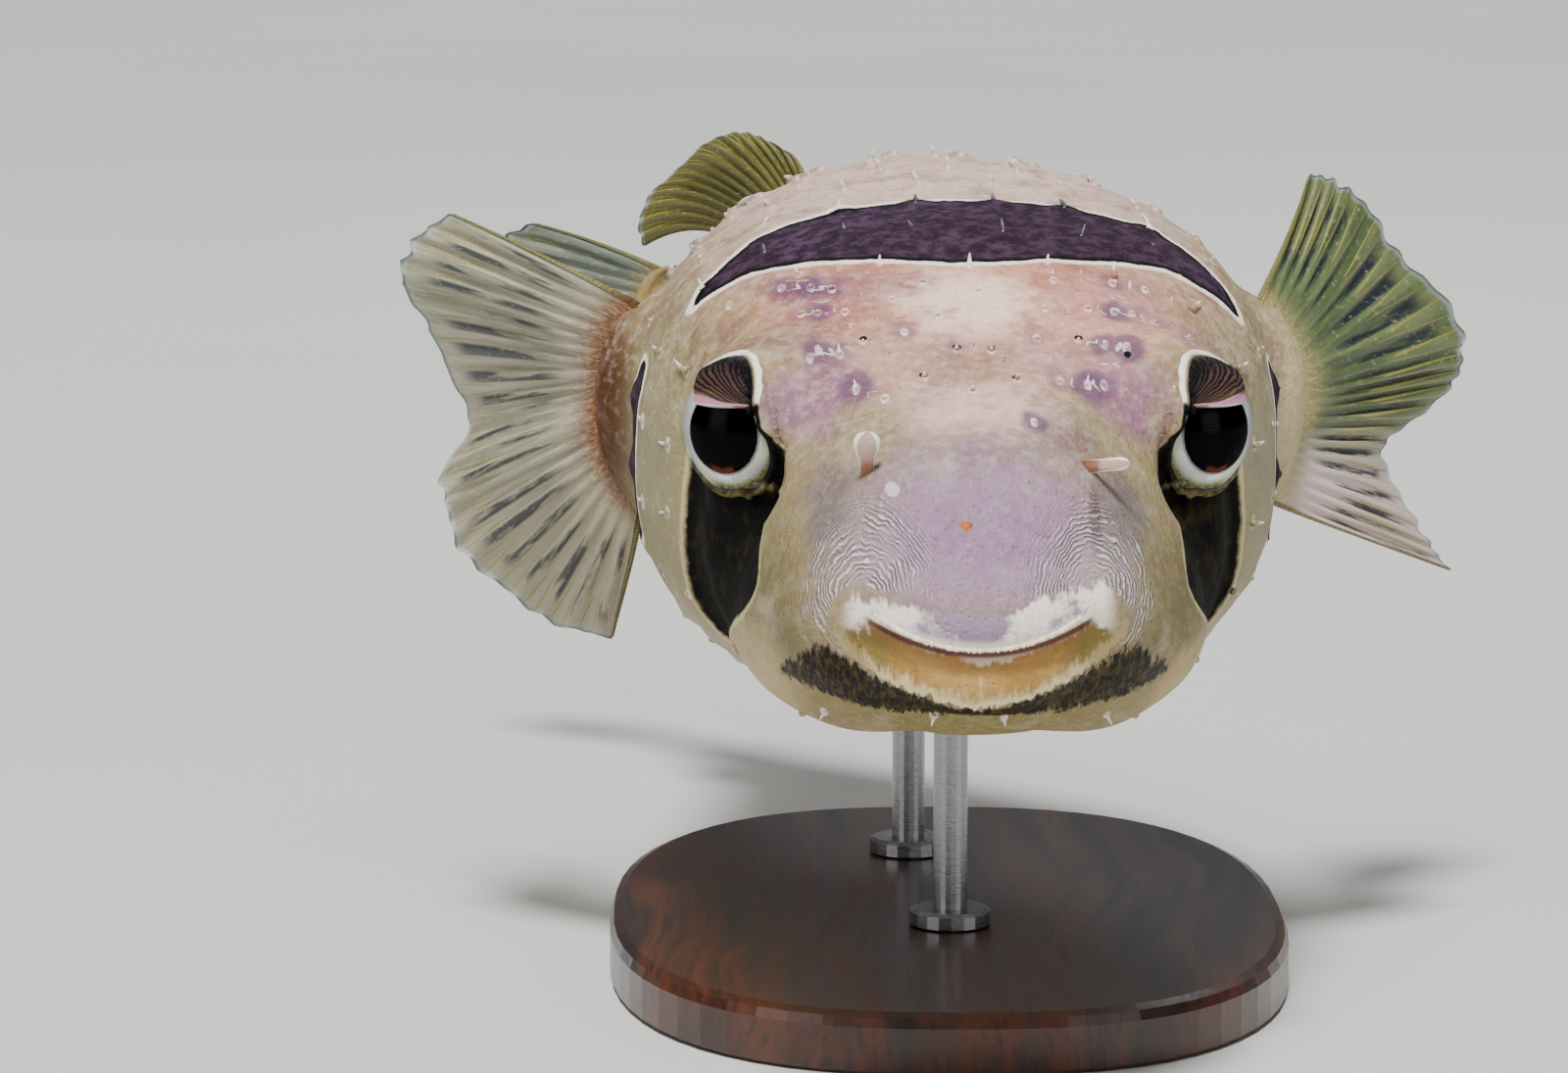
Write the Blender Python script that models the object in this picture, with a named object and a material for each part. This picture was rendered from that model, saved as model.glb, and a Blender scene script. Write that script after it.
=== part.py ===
"""Life-size model of a black-blotched porcupinefish, swimming, on a plain display stand.

The fish is first shaped straight, in fish space: x across (+x is its left side), y back from
the tip of the snout, z up from the line of the mouth. A smooth bend then swings its tail to
its right, and the whole fish is lifted onto the stand. Metres throughout, +Z up, snout
towards -Y, origin on the floor under the middle of the base.
"""

import math

import bpy
import numpy as np
from mathutils import Matrix, Vector

GAP = 0.0003  # air left between neighbouring pieces
FIN_GAP = 0.0005  # and round the root of a fin
SPINE_COVER = 0.0006  # the laid-back spines stand this much proud of the bare skin

# ---------------------------------------------------------------- the stand and the pose
BASE_LENGTH = 0.150
BASE_WIDTH = 0.104
BASE_THICKNESS = 0.009
BASE_EDGE_ROUND = 0.002
ROD_RADIUS = 0.0026
ROD_FLANGE_RADIUS = 0.0062
ROD_FLANGE_HEIGHT = 0.0024
ROD_SOCKET_DEPTH = 0.005  # how far a rod goes down into the base
ROD_IN_BODY = 0.012  # and up into the belly
ROD_STATIONS = (0.103, 0.156)  # distances back from the snout

MOUTH_HEIGHT = 0.069  # mouth line above the floor
SNOUT_TO_BASE_CENTRE = 0.119

BEND_START = 0.105  # the spine is straight in front of here
BODY_LENGTH = 0.262  # snout to the root of the tail fin
BEND_ANGLE = math.radians(33)  # how far the tail root is swung round
BEND_RATE = BEND_ANGLE / (BODY_LENGTH - BEND_START)

# ---------------------------------------------------------------- the body, by sections
SECTIONS = (
    # back from the snout, half the width, the back, the belly, the height where it is widest,
    # and how boxy the upper and the lower half are (2 is round)
    (0.020, 0.0225, 0.0200, -0.0105, 0.0030, 2.50, 2.1),
    (0.030, 0.0262, 0.0278, -0.0135, 0.0050, 2.80, 2.2),
    (0.040, 0.0290, 0.0345, -0.0158, 0.0070, 3.00, 2.2),
    (0.050, 0.0328, 0.0392, -0.0178, 0.0085, 3.20, 2.2),
    (0.064, 0.0412, 0.0440, -0.0204, 0.0105, 3.10, 2.2),
    (0.082, 0.0465, 0.0490, -0.0236, 0.0125, 2.90, 2.2),
    (0.105, 0.0480, 0.0525, -0.0266, 0.0140, 2.60, 2.2),
    (0.135, 0.0470, 0.0540, -0.0285, 0.0150, 2.15, 2.2),
    (0.165, 0.0415, 0.0500, -0.0258, 0.0158, 2.05, 2.1),
    (0.192, 0.0325, 0.0445, -0.0185, 0.0165, 2.00, 2.0),
    (0.218, 0.0210, 0.0358, -0.0065, 0.0165, 2.00, 2.0),
    (0.242, 0.0110, 0.0275, 0.0030, 0.0160, 2.00, 2.0),
    (0.262, 0.0068, 0.0245, 0.0070, 0.0158, 2.00, 2.0),
)
STATION, HALF_WIDTH, BACK, BELLY, WIDEST, BOXY_ABOVE, BOXY_BELOW = np.array(SECTIONS).T
FRONT_CAP = 0.013  # how far the first station is rounded off forwards
REAR_CAP = 0.006

# ---------------------------------------------------------------- head forms
# Rounded lumps: centre, radii, turn about z in degrees (left side), blend width.
MUZZLE = dict(centre=(0.0, 0.0240, 0.0020), radii=(0.0262, 0.0200, 0.0160), turn=0, blend=0.010)
SNOUT_BRIDGE = dict(centre=(0.0, 0.0310, 0.0140), radii=(0.0215, 0.0225, 0.0150), turn=0, blend=0.012)
CHEEK = dict(centre=(0.0215, 0.0350, -0.0015), radii=(0.0105, 0.0165, 0.0115), turn=-16, blend=0.010)
CHIN = dict(centre=(0.0150, 0.0300, -0.0070), radii=(0.0085, 0.0130, 0.0075), turn=-15, blend=0.005)
UNDER_EYE = dict(centre=(0.0285, 0.0500, 0.0070), radii=(0.0080, 0.0110, 0.0150), turn=-25, blend=0.007)
FIN_LOBE = dict(centre=(0.0455, 0.1085, 0.0195), radii=(0.0080, 0.0075, 0.0150), turn=0, blend=0.005)
DORSAL_LOBE = dict(centre=(0.0, 0.2190, 0.0340), radii=(0.0052, 0.0190, 0.0062), turn=0, blend=0.006)
ANAL_LOBE = dict(centre=(0.0, 0.2200, -0.0030), radii=(0.0050, 0.0170, 0.0062), turn=0, blend=0.006)

LIP_HALF_WIDTH = 0.0155
LIP_CORNER_BACK = 0.0048  # how far the corners lie behind the middle
LIP_CORNER_RISE = 0.0028  # and above it
UPPER_LIP = dict(forward=0.0048, height=0.0036, radius=0.0046)
LOWER_LIP = dict(forward=0.0064, height=-0.0044, radius=0.0047)
LIP_BLEND = 0.0018
LIP_CREASE = 0.0003  # blend between the two lips: small, so that the mouth line stays sharp

EYE_CENTRE = (0.0290, 0.0462, 0.0242)
EYE_RADIUS = 0.0110
EYE_TURN = math.radians(42)  # each eye looks this far out from straight ahead
LID_RADIUS = 0.0130
LID_INWARD = 0.0040  # the rounded socket is centred this far in along the eye's axis
LID_BLEND = 0.005

# ---------------------------------------------------------------- fins
# Each fin is a fan of guiding rays along a root line that bulges in its middle. A ray is its
# angle round the body (0 straight out to its own side, 90 up), its angle swept back, and its
# length. The middle of every ray is bowed off the straight line by the same small offset.
PECTORAL_RIGHT = dict(
    side=-1,
    first=(0.0455, 0.1060, 0.0335),
    last=(0.0465, 0.1080, 0.0050),
    bulge=(0.0055, 0.0030, 0.0),
    bow=(0.0, -0.0030, 0.0005),
    rays=(
        (20, 45, 0.048),
        (12, 47, 0.054),
        (1, 55, 0.051),
        (-22, 57, 0.045),
        (-26, 40, 0.040),
        (-38, 34, 0.038),
        (-58, 32, 0.033),
        (-79, 28, 0.027),
    ),
)
PECTORAL_LEFT = dict(
    side=1,
    first=(0.0455, 0.1060, 0.0335),
    last=(0.0465, 0.1080, 0.0050),
    bulge=(0.0055, 0.0030, 0.0),
    bow=(0.0, -0.0025, 0.0),
    rays=(
        (56, 61, 0.041),
        (50, 57, 0.046),
        (29, 57, 0.049),
        (4, 54, 0.056),
        (-3, 55, 0.050),
        (-13, 52, 0.029),
        (-24, 38, 0.035),
        (-25, 36, 0.047),
    ),
)
DORSAL = dict(
    side=-1,
    first=(0.0, 0.2050, 0.0385),
    last=(0.0, 0.2310, 0.0305),
    bulge=(0.0, 0.0, 0.0015),
    bow=(0.0010, 0.0, 0.0030),
    rays=((100, 68, 0.027), (84, 70, 0.031), (49, 71, 0.033), (22, 70, 0.032), (-8, 70, 0.027)),
)
ANAL = dict(
    side=-1,
    first=(0.0, 0.2080, -0.0055),
    last=(0.0, 0.2310, 0.0000),
    bulge=(0.0, 0.0, -0.0020),
    bow=(0.0010, 0.0, -0.0025),
    rays=((-93, 53, 0.029), (-84, 57, 0.033), (-67, 63, 0.034), (-47, 67, 0.030), (-16, 72, 0.023)),
)
CAUDAL = dict(
    side=-1,
    first=(0.0, 0.2600, 0.0225),
    last=(0.0, 0.2600, 0.0090),
    bulge=(0.0, 0.0014, 0.0),
    bow=(-0.0020, 0.0, 0.0),
    rays=((36, 70, 0.036), (18, 71, 0.047), (0, 71, 0.050), (-18, 71, 0.047), (-36, 70, 0.036)),
)
FIN_ROOT_THICKNESS = 0.0022
FIN_EDGE_THICKNESS = 0.0007

# ---------------------------------------------------------------- nostrils
NOSTRIL_ROOT = (0.0140, 0.0205, 0.0208)
NOSTRIL_REACH = {-1: (-0.0004, -0.0038, 0.0062), 1: (0.0064, -0.0038, 0.0014)}  # by side: -1 is its right
NOSTRIL_RADIUS = 0.0013
NOSTRIL_FLARE = 1.45

# ---------------------------------------------------------------- how finely it is faceted
FACE_CELLS = 12  # the snout is a grid of this many cells a side, and each ring has four times it
SNOUT_RINGS = 4  # rings from the edge of that grid back to the first upright ring
FIRST_RING = 0.027
CENTRE_STATION = (0.027, 0.045, 0.070, 0.110, 0.262)  # where the rays of the rings start from
CENTRE_HEIGHT = (0.0030, 0.0070, 0.0120, 0.0140, 0.0158)
HEAD_END = 0.096  # the gill opening, where head and trunk are parted
TRUNK_END = 0.198
EYE_RINGS = 10
ROUND_SIDES = 20

COLOURS = {
    "skin_head": ((0.62, 0.47, 0.42), 0.40, 0.0),
    "skin_trunk": ((0.55, 0.47, 0.38), 0.45, 0.0),
    "skin_tail": ((0.52, 0.46, 0.34), 0.45, 0.0),
    "fin": ((0.45, 0.40, 0.18), 0.40, 0.0),
    "eye": ((0.02, 0.02, 0.03), 0.08, 0.0),
    "nostril": ((0.70, 0.50, 0.36), 0.40, 0.0),
    "wood": ((0.10, 0.06, 0.04), 0.35, 0.0),
    "steel": ((0.60, 0.60, 0.60), 0.25, 1.0),
}


# ================================================================ small helpers
def clear_scene():
    for thing in list(bpy.data.objects):
        bpy.data.objects.remove(thing)


def material(name):
    colour, roughness, metallic = COLOURS[name]
    made = bpy.data.materials.get(name) or bpy.data.materials.new(name)
    made.use_nodes = True
    shader = made.node_tree.nodes["Principled BSDF"]
    shader.inputs["Base Color"].default_value = (*colour, 1)
    shader.inputs["Roughness"].default_value = roughness
    shader.inputs["Metallic"].default_value = metallic
    return made


def add_object(name, points, faces, finish=None):
    """A mesh object from points and faces. With no finish it is a hidden cutter."""
    mesh = bpy.data.meshes.new(name)
    mesh.from_pydata([tuple(map(float, p)) for p in points], [], faces)
    thing = bpy.data.objects.new(name, mesh)
    bpy.context.scene.collection.objects.link(thing)
    if finish:
        mesh.materials.append(material(finish))
        mesh.shade_smooth()
        mesh.set_sharp_from_angle(angle=math.radians(50))
    else:
        thing.hide_render = True
        thing.display_type = "WIRE"
    return thing


def cut(thing, cutter):
    boolean = thing.modifiers.new("cut_" + cutter.name, "BOOLEAN")
    boolean.operation = "DIFFERENCE"
    boolean.object = cutter


def smooth_curve(keys, values, at):
    """The value at each place of a smooth curve through a few keyed values, for a number or a vector."""
    keys = np.asarray(keys, float)
    values = np.asarray(values, float)
    at = np.asarray(at, float)
    slope = np.gradient(values, keys, axis=0)
    left = np.clip(np.searchsorted(keys, at) - 1, 0, len(keys) - 2)
    span = keys[left + 1] - keys[left]
    t = np.clip((at - keys[left]) / span, 0, 1)
    if values.ndim > 1:
        t = t[..., None]
        span = span[..., None]
    rise = (3 - 2 * t) * t * t
    lead = t * (1 - t) ** 2 * span * slope[left]
    trail = t * t * (1 - t) * span * slope[left + 1]
    return values[left] * (1 - rise) + values[left + 1] * rise + lead - trail


def blend_union(a, b, width):
    near = np.maximum(width - np.abs(a - b), 0) / width
    return np.minimum(a, b) - near * near * width / 4


# ================================================================ the flesh, as one field
def radial(offset, grow):
    """About how far outside a form a point lies, from its offset and that offset over the radius."""
    return np.linalg.norm(offset, axis=-1) * (1 - 1 / np.maximum(grow, 1e-6))


def trunk_form(p):
    y = p[..., 1]
    first, last = STATION[0], STATION[-1]
    at = np.clip(y, first, last)
    width = smooth_curve(STATION, HALF_WIDTH, at)
    middle = smooth_curve(STATION, WIDEST, at)
    above = p[..., 2] > middle
    edge = np.where(above, smooth_curve(STATION, BACK, at), smooth_curve(STATION, BELLY, at))
    boxy = np.where(above, smooth_curve(STATION, BOXY_ABOVE, at), smooth_curve(STATION, BOXY_BELOW, at))
    dx = np.abs(p[..., 0])
    dz = np.abs(p[..., 2] - middle)
    section = ((dx / width) ** boxy + (dz / np.abs(edge - middle)) ** boxy) ** (1 / boxy)
    past = np.maximum(first - y, 0) / FRONT_CAP + np.maximum(y - last, 0) / REAR_CAP
    offset = np.stack([dx, dz, np.abs(y - at)], -1)
    return radial(offset, np.hypot(section, past))


def lump(p, centre, radii, turn=0, blend=0):
    """A rounded lump, on both sides of the fish where its centre is off the middle."""
    turn = math.radians(turn)
    dx = np.abs(p[..., 0]) - centre[0] if centre[0] else p[..., 0]
    dy = p[..., 1] - centre[1]
    offset = np.stack(
        [
            dx * math.cos(turn) + dy * math.sin(turn),
            -dx * math.sin(turn) + dy * math.cos(turn),
            p[..., 2] - centre[2],
        ],
        -1,
    )
    return radial(offset, np.linalg.norm(offset / np.array(radii), axis=-1))


def lip(p, forward, height, radius):
    """A lip: a rounded bar that runs back and up towards both corners of the mouth, and thins there."""
    share = np.clip(np.abs(p[..., 0]) / LIP_HALF_WIDTH, 0, 1)
    along = p[..., 1] - forward - LIP_CORNER_BACK * share**2
    up = p[..., 2] - height * (1 - 0.45 * share**2) - LIP_CORNER_RISE * share**2
    past = np.maximum(np.abs(p[..., 0]) - LIP_HALF_WIDTH, 0)
    return np.sqrt(along**2 + up**2 + past**2) - radius * (1 - 0.30 * share**3)


def flesh(p):
    """Below zero inside the fish, above it outside, in about metres."""
    shape = trunk_form(p)
    for form in (MUZZLE, SNOUT_BRIDGE, CHEEK, CHIN, UNDER_EYE, FIN_LOBE, DORSAL_LOBE, ANAL_LOBE):
        shape = blend_union(shape, lump(p, **form), form["blend"])
    lid_centre = np.array(EYE_CENTRE) - LID_INWARD * np.array([math.sin(EYE_TURN), -math.cos(EYE_TURN), 0])
    lid = lump(p, lid_centre, (LID_RADIUS,) * 3)
    shape = blend_union(shape, lid, LID_BLEND)
    lips = blend_union(lip(p, **UPPER_LIP), lip(p, **LOWER_LIP), LIP_CREASE)
    return blend_union(shape, lips, LIP_BLEND)


# ================================================================ the pose
def frame_at(y):
    """The posed spine at a distance back from the snout: its place, and the sine and cosine of its turn."""
    turn = np.clip(y - BEND_START, 0, None) * BEND_RATE
    x = -(1 - np.cos(turn)) / BEND_RATE
    along = np.where(y < BEND_START, y, BEND_START + np.sin(turn) / BEND_RATE)
    return x, along, np.sin(turn), np.cos(turn)


def pose(p, rooted_at=None):
    """Fish space to the model's own space. A fin follows the spine where it is rooted, and stays stiff."""
    y = p[..., 1] if rooted_at is None else rooted_at
    x, along, sine, cosine = frame_at(y)
    back = p[..., 1] - y
    out = np.empty(p.shape)
    out[..., 0] = x + p[..., 0] * cosine - back * sine
    out[..., 1] = along + p[..., 0] * sine + back * cosine - SNOUT_TO_BASE_CENTRE
    out[..., 2] = p[..., 2] + MOUTH_HEIGHT
    return out


# ================================================================ the body's own facets
def reach(origin, direction, clearance):
    """The outermost point of the flesh, grown by a clearance, along each ray."""
    steps = np.linspace(0, 0.090, 91)
    far = np.zeros(len(origin))
    for step in steps:
        inside = flesh(origin + direction * step) < clearance
        far = np.where(inside, step, far)
    low = far
    high = far + steps[1]
    for _ in range(12):
        half = (low + high) / 2
        inside = flesh(origin + direction * half[:, None]) < clearance
        low = np.where(inside, half, low)
        high = np.where(inside, high, half)
    return origin + direction * low[:, None]


def face_grid():
    """Directions over the snout: a square grid seen from inside it, closer set towards the mouth."""
    share = np.linspace(-1, 1, FACE_CELLS + 1)
    share = 0.7 * share + 0.3 * share**3
    across, up = np.meshgrid(share, share, indexing="ij")
    spread = math.radians(45)
    rays = np.stack([np.tan(across * spread), -np.ones(across.shape), np.tan(up * spread)], -1)
    return rays / np.linalg.norm(rays, axis=-1, keepdims=True)


def grid_rim():
    """Grid places round the rim of the snout, anticlockwise seen from the front."""
    n = FACE_CELLS
    rim = [(i, 0) for i in range(n)] + [(n, j) for j in range(n)]
    return rim + [(n - i, n) for i in range(n)] + [(0, n - j) for j in range(n)]


def centre_at(y):
    """Where the rays of the ring at one station start from."""
    return np.array([0.0, y, float(smooth_curve(CENTRE_STATION, CENTRE_HEIGHT, y))])


def split_quad(a, b, c, d):
    """Two triangles, always along the same diagonal, so that a skin and its grown copy never cross."""
    return [(a, b, c), (a, c, d)]


def shell(starts_at_snout, clearance, rings):
    """The closed skin over upright rings, with the snout in front of them or a flat end."""
    rim = grid_rim()
    grid = face_grid()
    rim_rays = np.array([grid[i, j] for i, j in rim])
    flat = np.stack([rim_rays[:, 0], np.zeros(len(rim)), rim_rays[:, 2]], -1)
    flat /= np.linalg.norm(flat, axis=-1, keepdims=True)
    points = []
    faces = []
    loops = []
    if starts_at_snout:
        centre = centre_at(rings[0])
        flat_grid = grid.reshape(-1, 3)
        points.extend(reach(np.tile(centre, (len(flat_grid), 1)), flat_grid, clearance))
        side = FACE_CELLS + 1
        for i in range(FACE_CELLS):
            for j in range(FACE_CELLS):
                a = i * side + j
                faces += split_quad(a, a + side, a + side + 1, a + 1)
        loops.append([i * side + j for i, j in rim])
        for k in range(1, SNOUT_RINGS):
            share = k / SNOUT_RINGS
            rays = rim_rays * (1 - share) + flat * share
            rays /= np.linalg.norm(rays, axis=-1, keepdims=True)
            loops.append(range(len(points), len(points) + len(rim)))
            points.extend(reach(np.tile(centre, (len(rim), 1)), rays, clearance))
    for y in rings:
        loops.append(range(len(points), len(points) + len(rim)))
        points.extend(reach(np.tile(centre_at(y), (len(rim), 1)), flat, clearance))
    for near, far in zip(loops, loops[1:]):
        for k in range(len(rim)):
            after = (k + 1) % len(rim)
            faces += split_quad(near[k], far[k], far[after], near[after])
    if not starts_at_snout:
        faces.append(tuple(loops[0]))
    faces.append(tuple(reversed(loops[-1])))
    return pose(np.array(points)), faces


def rings_between(start, end, spacing):
    count = max(1, round((end - start) / spacing))
    return np.linspace(start, end, count + 1)


# ================================================================ fins
def fin_surface(fin, columns, rows):
    """The middle surface of a fin as a grid of posed points, first ray to last, root to edge."""
    share = np.linspace(0, 1, columns)
    keys = np.linspace(0, 1, len(fin["rays"]))
    rays = smooth_curve(keys, fin["rays"], share)
    up, back = np.radians(rays[:, 0]), np.radians(rays[:, 1])
    way = np.stack([np.cos(up) * np.cos(back), np.sin(back), np.sin(up) * np.cos(back)], -1)
    tip = way * rays[:, 2:]
    share = share[:, None]
    root = np.array(fin["first"]) * (1 - share) + np.array(fin["last"]) * share
    root = root + np.array(fin["bulge"]) * 4 * share * (1 - share)
    out = np.linspace(0, 1, rows)[None, :, None]
    points = root[:, None] + tip[:, None] * out + np.array(fin["bow"]) * 4 * out * (1 - out)
    return pose(points * (fin["side"], 1, 1), root[:, None, 1])


def add_fin(name, fin, columns, rows, clearance_body):
    """A fin as a thin closed plate, thick at its root and thin at its edge, cut clear of the body."""
    middle = fin_surface(fin, columns, rows)
    normal = np.cross(np.gradient(middle, axis=0), np.gradient(middle, axis=1))
    normal /= np.linalg.norm(normal, axis=-1, keepdims=True)
    taper = np.linspace(0, 1, rows)[None, :, None]
    half = (FIN_ROOT_THICKNESS * (1 - taper) + FIN_EDGE_THICKNESS * taper) / 2
    sides = (middle + normal * half, middle - normal * half)
    points = np.concatenate([side.reshape(-1, 3) for side in sides])
    other = columns * rows
    faces = []
    for i in range(columns - 1):
        for j in range(rows - 1):
            a = i * rows + j
            quad = (a, a + rows, a + rows + 1, a + 1)
            faces.append(quad)
            faces.append(tuple(k + other for k in reversed(quad)))
    rim = [i * rows for i in range(columns)]
    rim += [(columns - 1) * rows + j for j in range(1, rows)]
    rim += [i * rows + rows - 1 for i in range(columns - 2, -1, -1)]
    rim += [j for j in range(rows - 2, 0, -1)]
    for a, b in zip(rim, rim[1:] + rim[:1]):
        faces.append((b, a, a + other, b + other))
    thing = add_object(name, points, faces, "fin")
    cut(thing, clearance_body)
    return thing


# ================================================================ round pieces
def turned(name, profile, sides, finish=None):
    """A solid turned about +Z from (radius, height) pairs that run from the top to the bottom."""
    points = []
    faces = []
    loops = []
    for radius, height in profile:
        if radius == 0:
            loops.append([len(points)])
            points.append((0, 0, height))
            continue
        loops.append(range(len(points), len(points) + sides))
        for k in range(sides):
            turn = 2 * math.pi * k / sides
            points.append((radius * math.cos(turn), radius * math.sin(turn), height))
    for upper, lower in zip(loops, loops[1:]):
        for k in range(sides):
            after = (k + 1) % sides
            if len(upper) == 1:
                faces.append((upper[0], lower[k], lower[after]))
            elif len(lower) == 1:
                faces.append((upper[k], lower[0], upper[after]))
            else:
                faces.append((upper[k], lower[k], lower[after], upper[after]))
    if len(loops[0]) > 1:
        faces.append(tuple(loops[0]))
    if len(loops[-1]) > 1:
        faces.append(tuple(reversed(loops[-1])))
    return add_object(name, points, faces, finish)


def ball_profile(radius):
    """From pole to pole of a ball, for turning."""
    turns = [math.pi * k / EYE_RINGS for k in range(1, EYE_RINGS)]
    return [(0, radius), *((radius * math.sin(t), radius * math.cos(t)) for t in turns), (0, -radius)]


def stand_at(thing, spot, way):
    """Puts a turned piece at a spot in fish space, with its own +Z pointing along the way given."""
    turn = Vector(way).to_track_quat("Z", "Y").to_matrix().to_4x4()
    thing.matrix_world = Matrix.Translation(Vector(pose(np.array(spot)))) @ turn


def add_nostril(name, side, clearance_body):
    """A short soft tube that leans out and forwards and flares towards its tip."""
    way = Vector(NOSTRIL_REACH[side])
    length = way.length
    radius = NOSTRIL_RADIUS
    profile = [
        (0, length),
        (radius * NOSTRIL_FLARE * 0.75, length * 0.97),
        (radius * NOSTRIL_FLARE, length * 0.82),
        (radius, length * 0.5),
        (radius * 1.1, 0),
        (radius * 1.2, -length * 0.5),
    ]
    thing = turned(name, profile, 10, "nostril")
    stand_at(thing, np.array(NOSTRIL_ROOT) * (side, 1, 1), way)
    cut(thing, clearance_body)


# ================================================================ the stand
def rod_places():
    """Where each rod stands on the floor plan, and how high it ends inside the belly."""
    places = []
    for station in ROD_STATIONS:
        under = pose(np.array([0.0, station, 0.0]))
        belly = float(smooth_curve(STATION, BELLY, station)) + MOUTH_HEIGHT
        places.append((float(under[0]), float(under[1]), belly + ROD_IN_BODY))
    return places


def add_base():
    """A flat oval plate with rounded edges."""
    edge = BASE_EDGE_ROUND
    profile = [
        (1.0, BASE_THICKNESS, edge),
        (1.0, BASE_THICKNESS - edge * 0.3, edge * 0.3),
        (1.0, BASE_THICKNESS - edge, 0.0),
        (1.0, edge * 0.4, 0.0),
        (1.0, 0.0, edge * 0.4),
    ]
    sides = 60
    points = []
    for _, height, inset in profile:
        for k in range(sides):
            turn = 2 * math.pi * k / sides
            across = math.copysign(abs(math.cos(turn)) ** 0.8, math.cos(turn)) * (BASE_WIDTH / 2 - inset)
            along = math.copysign(abs(math.sin(turn)) ** 0.8, math.sin(turn)) * (BASE_LENGTH / 2 - inset)
            points.append((across, along, height))
    faces = [tuple(range(sides))]
    for ring in range(len(profile) - 1):
        for k in range(sides):
            a = ring * sides + k
            b = ring * sides + (k + 1) % sides
            faces.append((a, a + sides, b + sides, b))
    faces.append(tuple(reversed(range((len(profile) - 1) * sides, len(profile) * sides))))
    return add_object("stand_base", points, faces, "wood")


def add_stand(trunk):
    base = add_base()
    for number, (x, y, top) in enumerate(rod_places(), 1):
        bottom = BASE_THICKNESS - ROD_SOCKET_DEPTH
        flange = BASE_THICKNESS + GAP
        profile = [
            (ROD_RADIUS * 0.8, top),
            (ROD_RADIUS, top - ROD_RADIUS * 0.3),
            (ROD_RADIUS, flange + ROD_FLANGE_HEIGHT),
            (ROD_FLANGE_RADIUS * 0.9, flange + ROD_FLANGE_HEIGHT),
            (ROD_FLANGE_RADIUS, flange + ROD_FLANGE_HEIGHT * 0.8),
            (ROD_FLANGE_RADIUS, flange),
            (ROD_RADIUS, flange),
            (ROD_RADIUS, bottom + GAP),
        ]
        rod = turned(f"stand_rod_{number}", profile, ROUND_SIDES, "steel")
        rod.location = (x, y, 0)
        hole_radius = ROD_RADIUS + GAP
        hole = [(hole_radius, BASE_THICKNESS + 0.01), (hole_radius, bottom)]
        below = turned(f"base_hole_{number}", hole, ROUND_SIDES)
        below.location = (x, y, 0)
        cut(base, below)
        hole = [(hole_radius, top + GAP), (hole_radius, flange)]
        above = turned(f"belly_hole_{number}", hole, ROUND_SIDES)
        above.location = (x, y, 0)
        cut(trunk, above)


# ================================================================ the whole fish
def add_body():
    half = GAP / 2
    head_rings = rings_between(FIRST_RING, HEAD_END - half, 0.0043)
    trunk_rings = rings_between(HEAD_END + half, TRUNK_END - half, 0.0095)
    tail_rings = rings_between(TRUNK_END + half, BODY_LENGTH, 0.0090)
    every_ring = np.concatenate([head_rings, trunk_rings, tail_rings, [BODY_LENGTH + GAP]])
    head = add_object("head", *shell(True, SPINE_COVER, head_rings), "skin_head")
    trunk = add_object("trunk", *shell(False, SPINE_COVER, trunk_rings), "skin_trunk")
    add_object("tail", *shell(False, SPINE_COVER, tail_rings), "skin_tail")
    grown = add_object("body_clearance", *shell(True, SPINE_COVER + FIN_GAP, every_ring))
    return head, trunk, grown


def add_eyes(head):
    for name, side in (("right", -1), ("left", 1)):
        spot = np.array(EYE_CENTRE) * (side, 1, 1)
        look = (side * math.sin(EYE_TURN), -math.cos(EYE_TURN), 0)
        eye = turned(f"eye_{name}", ball_profile(EYE_RADIUS), ROUND_SIDES, "eye")
        socket = turned(f"socket_{name}", ball_profile(EYE_RADIUS + GAP), ROUND_SIDES)
        for thing in (eye, socket):
            stand_at(thing, spot, look)
        cut(head, socket)


def main():
    clear_scene()
    head, trunk, grown = add_body()
    add_eyes(head)
    add_fin("fin_pectoral_right", PECTORAL_RIGHT, 23, 6, grown)
    add_fin("fin_pectoral_left", PECTORAL_LEFT, 23, 6, grown)
    add_fin("fin_dorsal", DORSAL, 15, 5, grown)
    add_fin("fin_anal", ANAL, 13, 5, grown)
    add_fin("fin_caudal", CAUDAL, 15, 6, grown)
    add_nostril("nostril_right", -1, grown)
    add_nostril("nostril_left", 1, grown)
    add_stand(trunk)


main()
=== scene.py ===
import math
from types import SimpleNamespace

import bpy
import numpy as np
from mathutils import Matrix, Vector, noise


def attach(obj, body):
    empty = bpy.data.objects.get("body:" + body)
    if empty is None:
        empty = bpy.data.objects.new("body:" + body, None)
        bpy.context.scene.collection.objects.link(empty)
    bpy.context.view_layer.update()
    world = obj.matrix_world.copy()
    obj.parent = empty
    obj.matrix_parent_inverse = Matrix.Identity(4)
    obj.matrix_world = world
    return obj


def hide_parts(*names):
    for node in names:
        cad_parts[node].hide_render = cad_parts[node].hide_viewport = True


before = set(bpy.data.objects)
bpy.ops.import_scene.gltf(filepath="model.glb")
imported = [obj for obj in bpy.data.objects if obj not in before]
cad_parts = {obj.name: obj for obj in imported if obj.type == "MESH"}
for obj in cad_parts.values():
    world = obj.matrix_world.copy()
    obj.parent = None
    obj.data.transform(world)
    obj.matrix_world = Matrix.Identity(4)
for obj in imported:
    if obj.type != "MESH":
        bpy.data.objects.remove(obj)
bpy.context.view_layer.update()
scene = bpy.context.scene


# Small helpers for sums, meshes and node trees

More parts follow.
